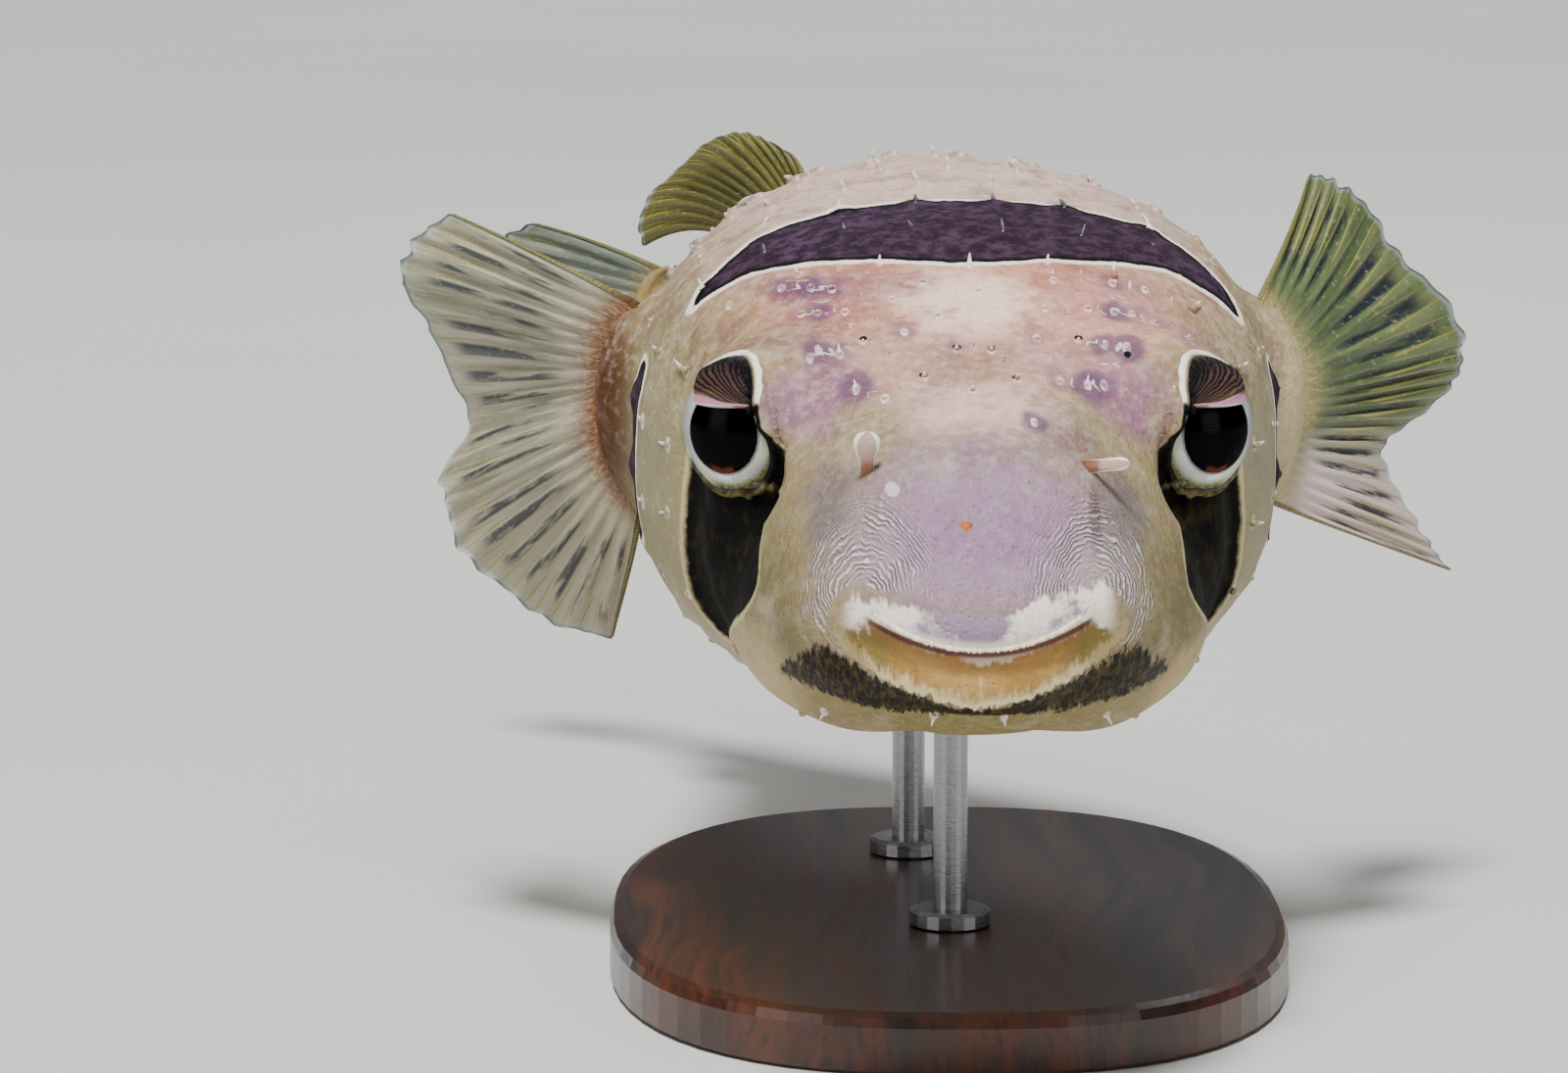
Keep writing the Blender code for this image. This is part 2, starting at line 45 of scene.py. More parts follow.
def smoothCurve(keys, values, at):
    keys = np.asarray(keys, float)
    values = np.asarray(values, float)
    at = np.asarray(at, float)
    slope = np.gradient(values, keys, axis=0)
    left = np.clip(np.searchsorted(keys, at) - 1, 0, len(keys) - 2)
    span = keys[left + 1] - keys[left]
    t = np.clip((at - keys[left]) / span, 0, 1)
    if values.ndim > 1:
        t = t[..., None]
        span = span[..., None]
    rise = (3 - 2 * t) * t * t
    lead = t * (1 - t) ** 2 * span * slope[left]
    trail = t * t * (1 - t) * span * slope[left + 1]
    return values[left] * (1 - rise) + values[left + 1] * rise + lead - trail


def softMin(a, b, width):
    near = np.maximum(width - np.abs(a - b), 0) / width
    return np.minimum(a, b) - near * near * width / 4


def ease(low, high, x):
    t = np.clip((x - low) / (high - low), 0, 1)
    return t * t * (3 - 2 * t)


def unit(v):
    return v / np.maximum(np.linalg.norm(v, axis=-1, keepdims=True), 1e-12)


def gridFaces(rows, columns, closed=False, start=0):
    faces = []
    for i in range(rows - 1):
        for j in range(columns if closed else columns - 1):
            after = (j + 1) % columns
            a = start + i * columns
            faces.append((a + j, a + after, a + columns + after, a + columns + j))
    return faces


def makePiece(name, points, faces, material, edges=()):
    mesh = bpy.data.meshes.new(name)
    mesh.from_pydata(np.asarray(points).reshape(-1, 3).tolist(), list(edges), faces)
    mesh.materials.append(material)
    mesh.shade_smooth()
    piece = bpy.data.objects.new(name, mesh)
    scene.collection.objects.link(piece)
    return piece


def keepValues(piece, **layers):  # numbers or vectors on the points, for the materials to read
    for name, values in layers.items():
        values = np.asarray(values, float)
        kind = "FLOAT_VECTOR" if values.ndim > 1 else "FLOAT"
        layer = piece.data.attributes.new(name, kind, "POINT")
        layer.data.foreach_set("vector" if values.ndim > 1 else "value", values.ravel())


class Wire:  # one socket, so that sums on it read as Python
    def __init__(self, tree, socket):
        self.tree = tree
        self.socket = socket

    def math(self, operation, *others):
        return self.tree.add("ShaderNodeMath", dict(enumerate((self, *others))), operation=operation)

    def __add__(self, other):
        return self.math("ADD", other)

    __radd__ = __add__

    def __sub__(self, other):
        return self.math("SUBTRACT", other)

    def __rsub__(self, other):
        return (self * -1) + other

    def __mul__(self, other):
        return self.math("MULTIPLY", other)

    __rmul__ = __mul__

    def __truediv__(self, other):
        return self.math("DIVIDE", other)

    def __pow__(self, other):
        return self.math("POWER", other)

    def __abs__(self):
        return self.math("ABSOLUTE")


class Tree:  # a material's or a modifier's nodes
    def __init__(self, nodeTree):
        self.nodes = nodeTree.nodes
        self.links = nodeTree.links

    def add(self, kind, values=None, out=0, **settings):
        node = self.nodes.new(kind)
        for name, setting in settings.items():
            setattr(node, name, setting)
        self.connect(node, values or {})
        return Wire(self, node.outputs[out])

    def connect(self, node, values):
        for name, value in values.items():
            if isinstance(value, Wire):
                self.links.new(value.socket, node.inputs[name])
            else:
                node.inputs[name].default_value = value

    def other(self, wire, out):  # another output of the same node
        return Wire(self, wire.socket.node.outputs[out])

    def split(self, vector):
        x = self.add("ShaderNodeSeparateXYZ", {"Vector": vector})
        return x, self.other(x, 1), self.other(x, 2)

    def join(self, x, y, z=0.0):
        return self.add("ShaderNodeCombineXYZ", {"X": x, "Y": y, "Z": z})

    def noise(self, place, scale, detail=3, rough=0.55):  # a scale for each axis stretches it
        if isinstance(scale, tuple):
            place = self.vector("MULTIPLY", place, scale)
            scale = 1.0
        values = {"Vector": place, "Scale": scale, "Detail": detail, "Roughness": rough}
        return self.add("ShaderNodeTexNoise", values)

    def within(self, value, low, high, first=0.0, last=1.0):  # a smooth step
        values = {"Value": value, "From Min": low, "From Max": high, "To Min": first, "To Max": last}
        return self.add("ShaderNodeMapRange", values, interpolation_type="SMOOTHSTEP")

    def mix(self, share, a, b):  # each colour a wire, or how it looks on a screen, from 0 to 255
        a, b = [colour if isinstance(colour, Wire) else tint(*colour) for colour in (a, b)]
        return self.add("ShaderNodeMix", {0: share, 6: a, 7: b}, 2, data_type="RGBA")

    def vector(self, operation, a, b=None, out=0):
        values = {0: a} if b is None else {0: a, "Scale" if operation == "SCALE" else 1: b}
        return self.add("ShaderNodeVectorMath", values, out, operation=operation)

    def length(self, offset, stretch):
        return self.vector("LENGTH", self.vector("MULTIPLY", offset, stretch), out=1)

    def radiiFrom(self, place, centre, radii):
        offset = self.vector("SUBTRACT", place, centre)
        return self.vector("LENGTH", self.vector("DIVIDE", offset, radii), out=1)

    def shiftBy(self, noise, distance):  # a wander of this far, from the colours of a noise
        way = self.vector("SUBTRACT", self.other(noise, 1), (0.5, 0.5, 0.5))
        return self.vector("SCALE", way, distance)

    def read(self, name, out="Fac"):
        return self.add("ShaderNodeAttribute", None, out, attribute_name=name)

    def bump(self, height, distance, strength=1.0, under=None):
        values = {"Height": height, "Distance": distance, "Strength": strength}
        if under is not None:
            values["Normal"] = under
        return self.add("ShaderNodeBump", values)


class Coat:  # a colour built up in layers
    def __init__(self, tree, colour):
        self.tree = tree
        self.colour = colour

    def lay(self, shade, mask, low=None, high=None, strength=1.0):  # by the mask, or by a step in it
        if low is not None:
            mask = self.tree.within(mask, low, high, 0.0, strength)
        self.colour = self.tree.mix(mask, self.colour, shade)


paint = {"saturation": 1.28, "depth": 1.35}  # how much richer than the screen colour, for the soft light


def tint(red, green, blue):  # a screen colour as the linear colour that the nodes take
    screen = np.array([red, green, blue]) / 255
    linear = np.where(screen <= 0.04045, screen / 12.92, ((screen + 0.055) / 1.055) ** 2.4)
    grey = linear @ (0.2126, 0.7152, 0.0722)
    linear = np.clip(grey + (linear - grey) * paint["saturation"], 0, 1) ** paint["depth"]
    return (*map(float, linear), 1.0)


def startMaterial(name):
    material = bpy.data.materials.new(name)
    material.use_nodes = True
    return material, Tree(material.node_tree)


def setShader(tree, values):
    tree.connect(tree.nodes["Principled BSDF"], values)


# The flesh as one smooth field, in fish space: x to its left, y back from the snout, z up, in metres

flesh = {
    "sections": (  # station, half width, back, belly, widest height, boxy above, boxy below
        (0.020, 0.0225, 0.0200, -0.0105, 0.0030, 2.50, 2.1),
        (0.030, 0.0262, 0.0278, -0.0135, 0.0050, 2.80, 2.2),
        (0.040, 0.0290, 0.0345, -0.0158, 0.0070, 3.00, 2.2),
        (0.050, 0.0328, 0.0392, -0.0178, 0.0085, 3.20, 2.2),
        (0.064, 0.0412, 0.0440, -0.0204, 0.0105, 3.10, 2.2),
        (0.082, 0.0465, 0.0490, -0.0236, 0.0125, 2.90, 2.2),
        (0.105, 0.0480, 0.0525, -0.0266, 0.0140, 2.60, 2.2),
        (0.135, 0.0470, 0.0540, -0.0285, 0.0150, 2.15, 2.2),
        (0.165, 0.0415, 0.0500, -0.0258, 0.0158, 2.05, 2.1),
        (0.192, 0.0325, 0.0445, -0.0185, 0.0165, 2.00, 2.0),
        (0.218, 0.0210, 0.0358, -0.0065, 0.0165, 2.00, 2.0),
        (0.242, 0.0110, 0.0275, 0.0030, 0.0160, 2.00, 2.0),
        (0.262, 0.0068, 0.0245, 0.0070, 0.0158, 2.00, 2.0),
    ),
    "frontCap": 0.013,
    "rearCap": 0.006,
    "lumps": (  # centre, radii, turn outwards in degrees, blend
        ((0.0000, 0.0240, 0.0020), (0.0262, 0.0200, 0.0160), 0, 0.010),  # muzzle
        ((0.0000, 0.0310, 0.0140), (0.0215, 0.0225, 0.0150), 0, 0.012),  # bridge of the snout
        ((0.0215, 0.0350, -0.0015), (0.0105, 0.0165, 0.0115), -16, 0.010),  # cheek
        ((0.0150, 0.0300, -0.0070), (0.0085, 0.0130, 0.0075), -15, 0.005),  # chin
        ((0.0285, 0.0500, 0.0070), (0.0080, 0.0110, 0.0150), -25, 0.007),  # under the eye
        ((0.0455, 0.1085, 0.0195), (0.0080, 0.0075, 0.0150), 0, 0.005),  # root of the pectoral fin
        ((0.0000, 0.2190, 0.0340), (0.0052, 0.0190, 0.0062), 0, 0.006),  # root of the dorsal fin
        ((0.0000, 0.2200, -0.0030), (0.0050, 0.0170, 0.0062), 0, 0.006),  # root of the anal fin
    ),
    "pocket": ((0.0282, 0.0352, 0.0180), (0.0022, 0.0040, 0.0075), -20, 0.0022),  # gap beside the eye
}

mouth = {
    "halfWidth": 0.0152,
    "cornerBack": 0.0048,
    "cornerRise": 0.0036,
    "upper": {"forward": 0.0046, "height": 0.0036, "radius": 0.0046, "blend": 0.0055, "reach": 1.05},
    "lower": {"forward": 0.0064, "height": -0.0046, "radius": 0.0047, "blend": 0.0022, "reach": 1.16},
    "flatten": 0.45,  # how much of a lip's height is gone at the corner
    "thin": 0.3,  # and how much of its radius
    "crease": 0.00025,
    "line": -0.0004,  # height of the mouth line in its middle
    "lineRise": 0.0006,  # how much higher than the lips it ends
}

eye = {
    "centre": (0.029, 0.0462, 0.0242),
    "turn": math.radians(42),
    "ball": 0.0106,
    "cornea": 0.0113,
    "corneaGap": 0.0002,  # between the ball and the cornea over it
    "bulgeFall": 1.5,  # how fast the cornea's bulge falls off from its middle
    "socket": 0.013,
    "inward": 0.004,
    "blend": 0.005,
    "pupilTurn": math.radians(35),
    "pupil": math.radians(33),
    "rows": 64,
    "columns": 96,
}

pose = {
    "bendStart": 0.105,
    "bendAngle": math.radians(33),
    "bodyLength": 0.262,
    "mouthHeight": 0.069,
    "snoutToBase": 0.119,
}


def radial(offset, grow):
    return np.linalg.norm(offset, axis=-1) * (1 - 1 / np.maximum(grow, 1e-6))


def trunkForm(p):
    station, halfWidth, back, belly, widest, boxyAbove, boxyBelow = np.array(flesh["sections"]).T
    y = p[..., 1]
    at = np.clip(y, station[0], station[-1])
    width = smoothCurve(station, halfWidth, at)
    middle = smoothCurve(station, widest, at)
    above = p[..., 2] > middle
    edge = np.where(above, smoothCurve(station, back, at), smoothCurve(station, belly, at))
    boxy = np.where(above, smoothCurve(station, boxyAbove, at), smoothCurve(station, boxyBelow, at))
    dx = np.abs(p[..., 0])
    dz = np.abs(p[..., 2] - middle)
    section = ((dx / width) ** boxy + (dz / np.abs(edge - middle)) ** boxy) ** (1 / boxy)
    before = np.maximum(station[0] - y, 0) / flesh["frontCap"]
    past = before + np.maximum(y - station[-1], 0) / flesh["rearCap"]
    return radial(np.stack([dx, dz, np.abs(y - at)], -1), np.hypot(section, past))


def lump(p, centre, radii, turn=0):
    turn = math.radians(turn)
    dx = np.abs(p[..., 0]) - centre[0] if centre[0] else p[..., 0]
    dy = p[..., 1] - centre[1]
    along = dx * math.cos(turn) + dy * math.sin(turn)
    across = -dx * math.sin(turn) + dy * math.cos(turn)
    offset = np.stack([along, across, p[..., 2] - centre[2]], -1)
    return radial(offset, np.linalg.norm(offset / np.array(radii), axis=-1))


def lip(p, side):
    x = np.abs(p[..., 0])
    halfWidth = mouth["halfWidth"] * side["reach"]
    share = np.clip(x / halfWidth, 0, 1)
    along = p[..., 1] - side["forward"] - mouth["cornerBack"] * share**2
    up = p[..., 2] - side["height"] * (1 - mouth["flatten"] * share**2) - mouth["cornerRise"] * share**2
    past = np.maximum(x - halfWidth, 0)
    return np.sqrt(along**2 + up**2 + past**2) - side["radius"] * (1 - mouth["thin"] * share**3)


def eyeAxes(side=1, turn=None):  # the way it looks, the way out and back across that, and up
    turn = eye["turn"] if turn is None else turn
    look = np.array([side * math.sin(turn), -math.cos(turn), 0])
    outward = np.array([side * math.cos(turn), math.sin(turn), 0])
    return look, outward, np.array([0.0, 0, 1])


def eyeCentre(side=1):
    return np.array(eye["centre"]) * (side, 1, 1)


def fleshField(p):
    shape = trunkForm(p)
    for centre, radii, turn, blend in flesh["lumps"]:
        shape = softMin(shape, lump(p, centre, radii, turn), blend)
    socket = eyeCentre() - eye["inward"] * eyeAxes()[0]
    shape = softMin(shape, lump(p, socket, (eye["socket"],) * 3), eye["blend"])
    centre, radii, turn, blend = flesh["pocket"]
    shape = -softMin(-shape, lump(p, centre, radii, turn), blend)
    upper = softMin(shape, lip(p, mouth["upper"]), mouth["upper"]["blend"])
    lower = softMin(shape, lip(p, mouth["lower"]), mouth["lower"]["blend"])
    return softMin(upper, lower, mouth["crease"])


def fieldNormals(p, step=0.0002):
    slopes = []
    for axis in np.eye(3):
        slopes.append(fleshField(p + axis * step) - fleshField(p - axis * step))
    return unit(np.stack(slopes, -1))


def posed(p, rootedAt=None):  # fish space to the model's own space
    y = p[..., 1] if rootedAt is None else rootedAt
    rate = pose["bendAngle"] / (pose["bodyLength"] - pose["bendStart"])
    turn = np.clip(y - pose["bendStart"], 0, None) * rate
    bent = pose["bendStart"] + np.sin(turn) / rate
    along = np.where(y < pose["bendStart"], y, bent)
    back = p[..., 1] - y
    out = np.empty(p.shape)
    out[..., 0] = -(1 - np.cos(turn)) / rate + p[..., 0] * np.cos(turn) - back * np.sin(turn)
    out[..., 1] = along + p[..., 0] * np.sin(turn) + back * np.cos(turn) - pose["snoutToBase"]
    out[..., 2] = p[..., 2] + pose["mouthHeight"]
    return out


def castOut(origin, direction, longest=0.09, outermost=True, shortest=0.0):  # out to the flesh's surface
    step = 0.0012
    far = np.zeros(len(origin))
    going = np.ones(len(origin), bool)
    for distance in np.arange(shortest, longest, step):
        inside = fleshField(origin + direction * distance) < 0
        far = np.where(inside & going, distance, far)
        if not outermost:
            going &= inside
    low = far
    high = far + step
    for _ in range(10):  # halving the step ten times comes within 2 micrometres
        half = (low + high) / 2
        inside = fleshField(origin + direction * half[:, None]) < 0
        low = np.where(inside, half, low)
        high = np.where(inside, high, half)
    return origin + direction * low[:, None]


# The skin: a grid over the snout, then rings back to the root of the tail fin

skin = {
    "cells": 80,
    "crowding": 0.3,  # of the grid's lines to the middle of the snout
    "spread": math.radians(45),
    "snoutRings": 18,
    "firstRing": 0.027,
    "spacing": ((0.027, 0.0009), (0.094, 0.0007), (0.11, 0.0016), (0.262, 0.0016)),
    "centreStation": (0.027, 0.045, 0.07, 0.11, 0.262),
    "centreHeight": (0.003, 0.007, 0.012, 0.014, 0.0158),
    "tailRound": (0.002, 0.0038, 0.005, 0.0057),
}


def centreAt(y):
    return np.array([0.0, y, float(smoothCurve(skin["centreStation"], skin["centreHeight"], y))])


def snoutRays():
    share = np.linspace(-1, 1, skin["cells"] + 1)
    share = (1 - skin["crowding"]) * share + skin["crowding"] * share**3
    across, up = np.meshgrid(share * skin["spread"], share * skin["spread"], indexing="ij")
    return unit(np.stack([np.tan(across), -np.ones(across.shape), np.tan(up)], -1))


def ringStations():
    stations = [skin["firstRing"]]
    for (start, spacing), (end, _) in zip(skin["spacing"], skin["spacing"][1:]):
        count = round((end - start) / spacing)
        stations.extend(np.linspace(start, end, count + 1)[1:])
    stations.extend(stations[-1] + extra for extra in skin["tailRound"])
    return stations


def castSkin():
    n = skin["cells"]
    rim = [(i, 0) for i in range(n)] + [(n, j) for j in range(n)]
    rim += [(n - i, n) for i in range(n)] + [(0, n - j) for j in range(n)]
    rays = snoutRays()
    rimRays = np.array([rays[i, j] for i, j in rim])
    flat = unit(rimRays * (1, 0, 1))
    origins = [np.tile(centreAt(skin["firstRing"]), (rays.size // 3, 1))]
    directions = [rays.reshape(-1, 3)]
    faces = gridFaces(n + 1, n + 1)
    faces = [face[::-1] for face in faces]
    loops = [np.array([i * (n + 1) + j for i, j in rim])]
    count = (n + 1) ** 2
    around = len(rim)
    for k in range(1, skin["snoutRings"]):
        share = k / skin["snoutRings"]
        origins.append(np.tile(centreAt(skin["firstRing"]), (around, 1)))
        directions.append(unit(rimRays * (1 - share) + flat * share))
    for y in ringStations():
        origins.append(np.tile(centreAt(y), (around, 1)))
        directions.append(flat)
    for k in range(len(origins) - 1):
        loops.append(np.arange(count + k * around, count + (k + 1) * around))
    for near, far in zip(loops, loops[1:]):
        for k in range(around):
            after = (k + 1) % around
            faces.append((near[k], far[k], far[after], near[after]))
    points = castOut(np.concatenate(origins), np.concatenate(directions))
    last = loops[-1]
    points = np.concatenate([points, points[last].mean(axis=0, keepdims=True)])
    for k in range(around):
        faces.append((last[k], len(points) - 1, last[(k + 1) % around]))
    return points, [tuple(map(int, face)) for face in faces]


# Markings: dark patches as outlines in one view each, and where the washes of colour lie

markings = {  # the view that an outline is drawn in, whether it's mirrored, and its points in mm
    "edged": {  # dark patches with a pale edge
        "nape": ("top", False, (
            (0, 67), (12, 68), (22, 70.5), (30, 73.5), (36, 75), (40.5, 77), (37, 83), (33, 87.5),
            (26, 90), (18, 91), (8, 93), (0, 93.5), (-8, 93), (-18, 90.5), (-26, 88), (-33, 83),
            (-38.5, 76), (-36, 74.5), (-30, 73.2), (-22, 70.3), (-12, 68))),
        "gill": ("side", True, (
            (84, 27), (88, 28), (92, 23), (95, 15), (96, 7), (93, 1), (88, 3), (86, 12), (85, 20))),
        "middle": ("top", False, (
            (0, 165), (10, 166), (17, 170), (19, 177), (16, 185), (8, 189), (-3, 190), (-12, 187),
            (-18, 180), (-19, 172), (-13, 167), (-7, 165.4))),
        "dorsal": ("side", True, (
            (200, 50), (236, 50), (237, 30), (231, 25), (219, 27), (207, 31), (200, 37))),
        "flank": ("side", True, (
            (126, 28), (134, 34), (146, 34), (154, 27), (153, 18), (144, 14), (133, 16), (127, 21))),
    },
    "plain": {  # dark patches with none
        "underEye": ("side", True, (
            (44, 22), (39.5, 17.5), (34.5, 14.5), (29.5, 10.5), (25.5, 7), (24.5, 4.5), (27, 1.5),
            (34, -1.5), (43, -4.5), (54, -8), (64, -10.5), (66, -6), (63, 3), (61, 12), (59, 24),
            (53, 31), (46, 30))),
    },
    "frayed": {  # brushed patches
        "throat": ("front", True, (
            (-1, -8.2), (5, -7.2), (11, -5.2), (15.5, -3), (19, -1), (21.5, -0.6), (25, -3.5), (26.5, -6),
            (22, -8), (15, -9.6), (8, -10), (-1, -9.6))),
    },
    "lipWhite": {
        "upper": ("front", True, (
            (-1, -1.2), (4, -0.9), (9, 0.6), (14.4, 3.4), (17, 1.8), (19.6, 1.0), (19.8, 4), (17.5, 7.6),
            (14.5, 7.6), (9, 6.8), (5, 5.2), (-1, 4.2))),
    },
    "lipCream": {
        "lower": ("front", True, (
            (-1, 1), (9, 2.6), (14.6, 4.8), (18, 4), (19.8, 2.5), (17.5, -0.8), (13.5, -3.8), (9, -5.8),
            (4, -7.2), (-1, -7.6))),
    },
}

markingReach = {
    "farthest": 0.05,  # distances are kept up to this
    "topAbove": 0.02,  # patches drawn from above lie over this height
    "frontBefore": 0.034,  # and those drawn from the front lie before this
}


def outlineDistance(flat, outline):  # signed distance to a smoothed closed outline, and the way it grows
    ring = np.array(outline, float) * 0.001
    keys = np.arange(-2, len(ring) + 3)
    at = np.linspace(0, len(ring), len(ring) * 6, endpoint=False)
    ring = smoothCurve(keys, ring[keys % len(ring)], at)
    best = np.full(len(flat), 1e9)
    away = np.zeros(flat.shape)
    inside = np.zeros(len(flat), bool)
    for a, b in zip(ring, np.roll(ring, -1, axis=0)):
        along = np.clip(((flat - a) @ (b - a)) / ((b - a) @ (b - a) + 1e-15), 0, 1)
        gap = flat - a - along[:, None] * (b - a)
        distance = np.linalg.norm(gap, axis=1)
        nearer = distance < best
        best = np.where(nearer, distance, best)
        away[nearer] = gap[nearer]
        crossing = (a[1] > flat[:, 1]) != (b[1] > flat[:, 1])
        reachX = a[0] + (flat[:, 1] - a[1]) * (b[0] - a[0]) / (b[1] - a[1] + 1e-15)
        inside ^= crossing & (flat[:, 0] < reachX)
    return np.where(inside, -best, best), unit(away)


def markingDistance(group, p, normals):  # in metres over the surface, below zero in the patch
    views = {"top": (0, 1), "side": (1, 2), "front": (0, 2)}
    best = np.full(len(p), markingReach["farthest"])
    for view, mirrored, outline in markings[group].values():
        axes = views[view]
        place = p.copy()
        facing = normals.copy()
        if mirrored:
            flip = np.where(p[:, 0] < 0, -1.0, 1.0)
            place[:, 0] *= flip
            facing[:, 0] *= flip
        distance, away = outlineDistance(place[:, axes], outline)
        lean = np.sum(away * facing[:, axes], axis=1)
        distance = distance / np.maximum(np.sqrt(1 - np.clip(lean, -1, 1) ** 2), 0.3)
        if view == "top":
            distance = np.maximum(distance, markingReach["topAbove"] - place[:, 2])
        if view == "front":
            distance = np.maximum(distance, place[:, 1] - markingReach["frontBefore"])
        best = np.minimum(best, distance)
    return best


# Spines: where each one is rooted, how long it is and how it lies

spines = {
    "rows": (
        0.031, 0.039, 0.047, 0.056, 0.066, 0.078, 0.091, 0.104, 0.117, 0.13,
        0.143, 0.156, 0.168, 0.18, 0.192, 0.203, 0.214, 0.225, 0.236,
    ),
    "gap": 0.0112,  # between two of one row
    "ringPoints": 181,  # steps round the body in finding a row's places
    "jitter": (0.1, 0.0014),  # along the row as a share of the gap, and back in metres
    "length": (  # at each station
        (0.025, 0.0026), (0.045, 0.003), (0.066, 0.0042), (0.09, 0.0075),
        (0.13, 0.015), (0.18, 0.0135), (0.215, 0.0085), (0.24, 0.005),
    ),
    "uneven": (0.85, 1.15),
    "shorterBelow": 0.45,  # how much of its length a spine on the belly lacks
    "thickness": ((0.025, 0.00034), (0.066, 0.00036), (0.12, 0.00062), (0.24, 0.00045)),
    "lift": (  # degrees off the skin
        (0.025, 12), (0.052, 6), (0.066, 1.5), (0.12, 1.5), (0.16, 3), (0.24, 8),
    ),
    "bare": {  # where none grow from the rows
        "face": (0.064, -0.004),  # before this station and above this height
        "chin": (0.03, -0.009),
        "pectoral": ((0.108, 0.019), (0.012, 0.022)),  # station and height, and how far round them
        "dorsal": (0.2, 0.005),  # behind this station and this near the middle line
        "anal": (0.204, 0.004),
    },
    "browLeast": 2.5,  # those of the table that are shorter, in mm, are only nubs
    "browLength": 0.0009,  # for each millimetre in the table
    "nub": 0.0007,
    "chinLength": 0.0015,
    "chinLift": math.radians(65),
    "browWidth": 0.0003,
    "brow": (  # across, back and length in mm, how dark its halo, and a pit behind (1) or before it (-1)
        (-21.0, 42.7, 1.8, 1.0, 0), (-18.0, 42.0, 2.8, 0.4, 0), (-15.7, 34.5, 3.4, 0.9, 0),
        (-14.7, 44.7, 1.3, 0, 1), (-22.2, 41.1, 1.2, 0.3, 0), (-20.8, 54.3, 1.8, 0.9, 0),
        (-23.2, 55.4, 1.6, 0.3, 0), (-17.1, 52.9, 1.8, 0.2, 0), (-25.8, 64.3, 2.4, 0.6, 0),
        (-21.8, 62.1, 2.4, 0.9, 0), (-18.8, 60.5, 2.0, 0.6, 0), (-10.4, 54.9, 2.2, 0.2, 0),
        (-5.9, 60.2, 2.2, 0.1, 0), (-8.9, 45.8, 1.6, 0.6, 0), (-6.5, 34.4, 1.2, 0, 1),
        (-1.8, 41.2, 1.2, 0.4, 1), (0.0, 29.9, 1.0, 0, 0), (3.0, 41.0, 1.3, 0.1, 1),
        (-4.1, 50.0, 1.6, 0, 0), (1.8, 57.2, 2.0, 0, 0), (6.3, 34.0, 1.1, 0, 1),
        (9.5, 44.4, 1.6, 0.3, 0), (11.0, 52.3, 1.8, 0.1, 0), (12.7, 61.1, 2.2, 0, 0),
        (15.3, 45.2, 1.3, 0, 1), (12.1, 34.8, 1.5, 0.5, 0), (15.8, 35.2, 3.6, 0.8, 0),
        (18.2, 36.4, 1.8, 0.5, 0), (18.9, 43.9, 2.0, 0.9, 0), (21.9, 43.0, 2.8, 1.0, -1),
        (20.9, 54.5, 1.8, 0.8, 0), (23.4, 55.3, 1.8, 0.4, 0), (17.1, 53.9, 2.0, 0.2, 0),
        (26.6, 54.4, 2.4, 0.3, 0), (25.8, 63.7, 2.2, 0.3, 0), (21.1, 62.9, 2.2, 0.5, 0),
        (30.9, 47.6, 1.6, 0.4, 0), (8.0, 22.0, 1.2, 0.9, 0), (-12.0, 30.5, 1.1, 0.2, 0),
    ),
    "chin": ((-5.9, 9.6), (3.5, 9.0), (-20.4, 20.5), (18.0, 18.6)),  # the four little ones under the chin
}


def onSurface(flat, fromAbove):  # points of a plan, dropped on the flesh
    way, start = (1.0, 0.01) if fromAbove else (-1.0, 0.0)
    origin = np.column_stack([flat[:, 0], flat[:, 1], np.full(len(flat), start)])
    return castOut(origin, np.tile((0.0, 0, way), (len(flat), 1)))


def spineRow(number, y, rng):  # the roots of one row round the body
    steps = spines["ringPoints"]
    turns = np.linspace(-math.pi, math.pi, steps)
    rays = np.column_stack([np.sin(turns), np.zeros(steps), np.cos(turns)])
    ring = castOut(np.tile(centreAt(y), (steps, 1)), rays)
    walked = np.concatenate([[0], np.cumsum(np.linalg.norm(np.diff(ring, axis=0), axis=1))])
    count = max(6, round(walked[-1] / spines["gap"]))
    along, back = spines["jitter"]
    places = np.arange(count) + 0.5 * (number % 2) + rng.uniform(-along, along, count)
    places = places / count * walked[-1]
    picked = np.column_stack([np.interp(places, walked, ring[:, axis]) for axis in range(3)])
    picked[:, 1] += rng.uniform(-back, back, count)
    bare = np.zeros(count, bool)
    for name in ("face", "chin"):  # the forehead has its own, and the cheeks and eyes have none
        station, height = spines["bare"][name]
        bare |= (y < station) & (picked[:, 2] > height)
    place, reach = spines["bare"]["pectoral"]
    bare |= np.all(np.abs(picked[:, 1:] - place) < reach, axis=1)
    fromBack = np.abs(places - walked[-1] / 2)
    station, clear = spines["bare"]["dorsal"]
    bare |= (y > station) & (fromBack < clear)
    station, clear = spines["bare"]["anal"]
    bare |= (y > station) & (fromBack > walked[-1] / 2 - clear)
    return picked[~bare]


def spineRoots():
    rng = np.random.default_rng(7)
    brow = np.array(spines["brow"], float)
    chin = np.array(spines["chin"], float)
    roots = [onSurface(brow[:, :2] * 0.001, True), onSurface(chin * 0.001, False)]
    details = [brow[:, 2:], np.tile((1.5, 0.0, 0.0), (len(chin), 1))]
    for number, y in enumerate(spines["rows"]):
        roots.append(spineRow(number, y, rng))
        details.append(np.zeros((len(roots[-1]), 3)))
    return np.concatenate(roots), np.concatenate(details)


def atStations(name, y):
    stations, values = np.array(spines[name]).T
    return smoothCurve(stations, values, y)


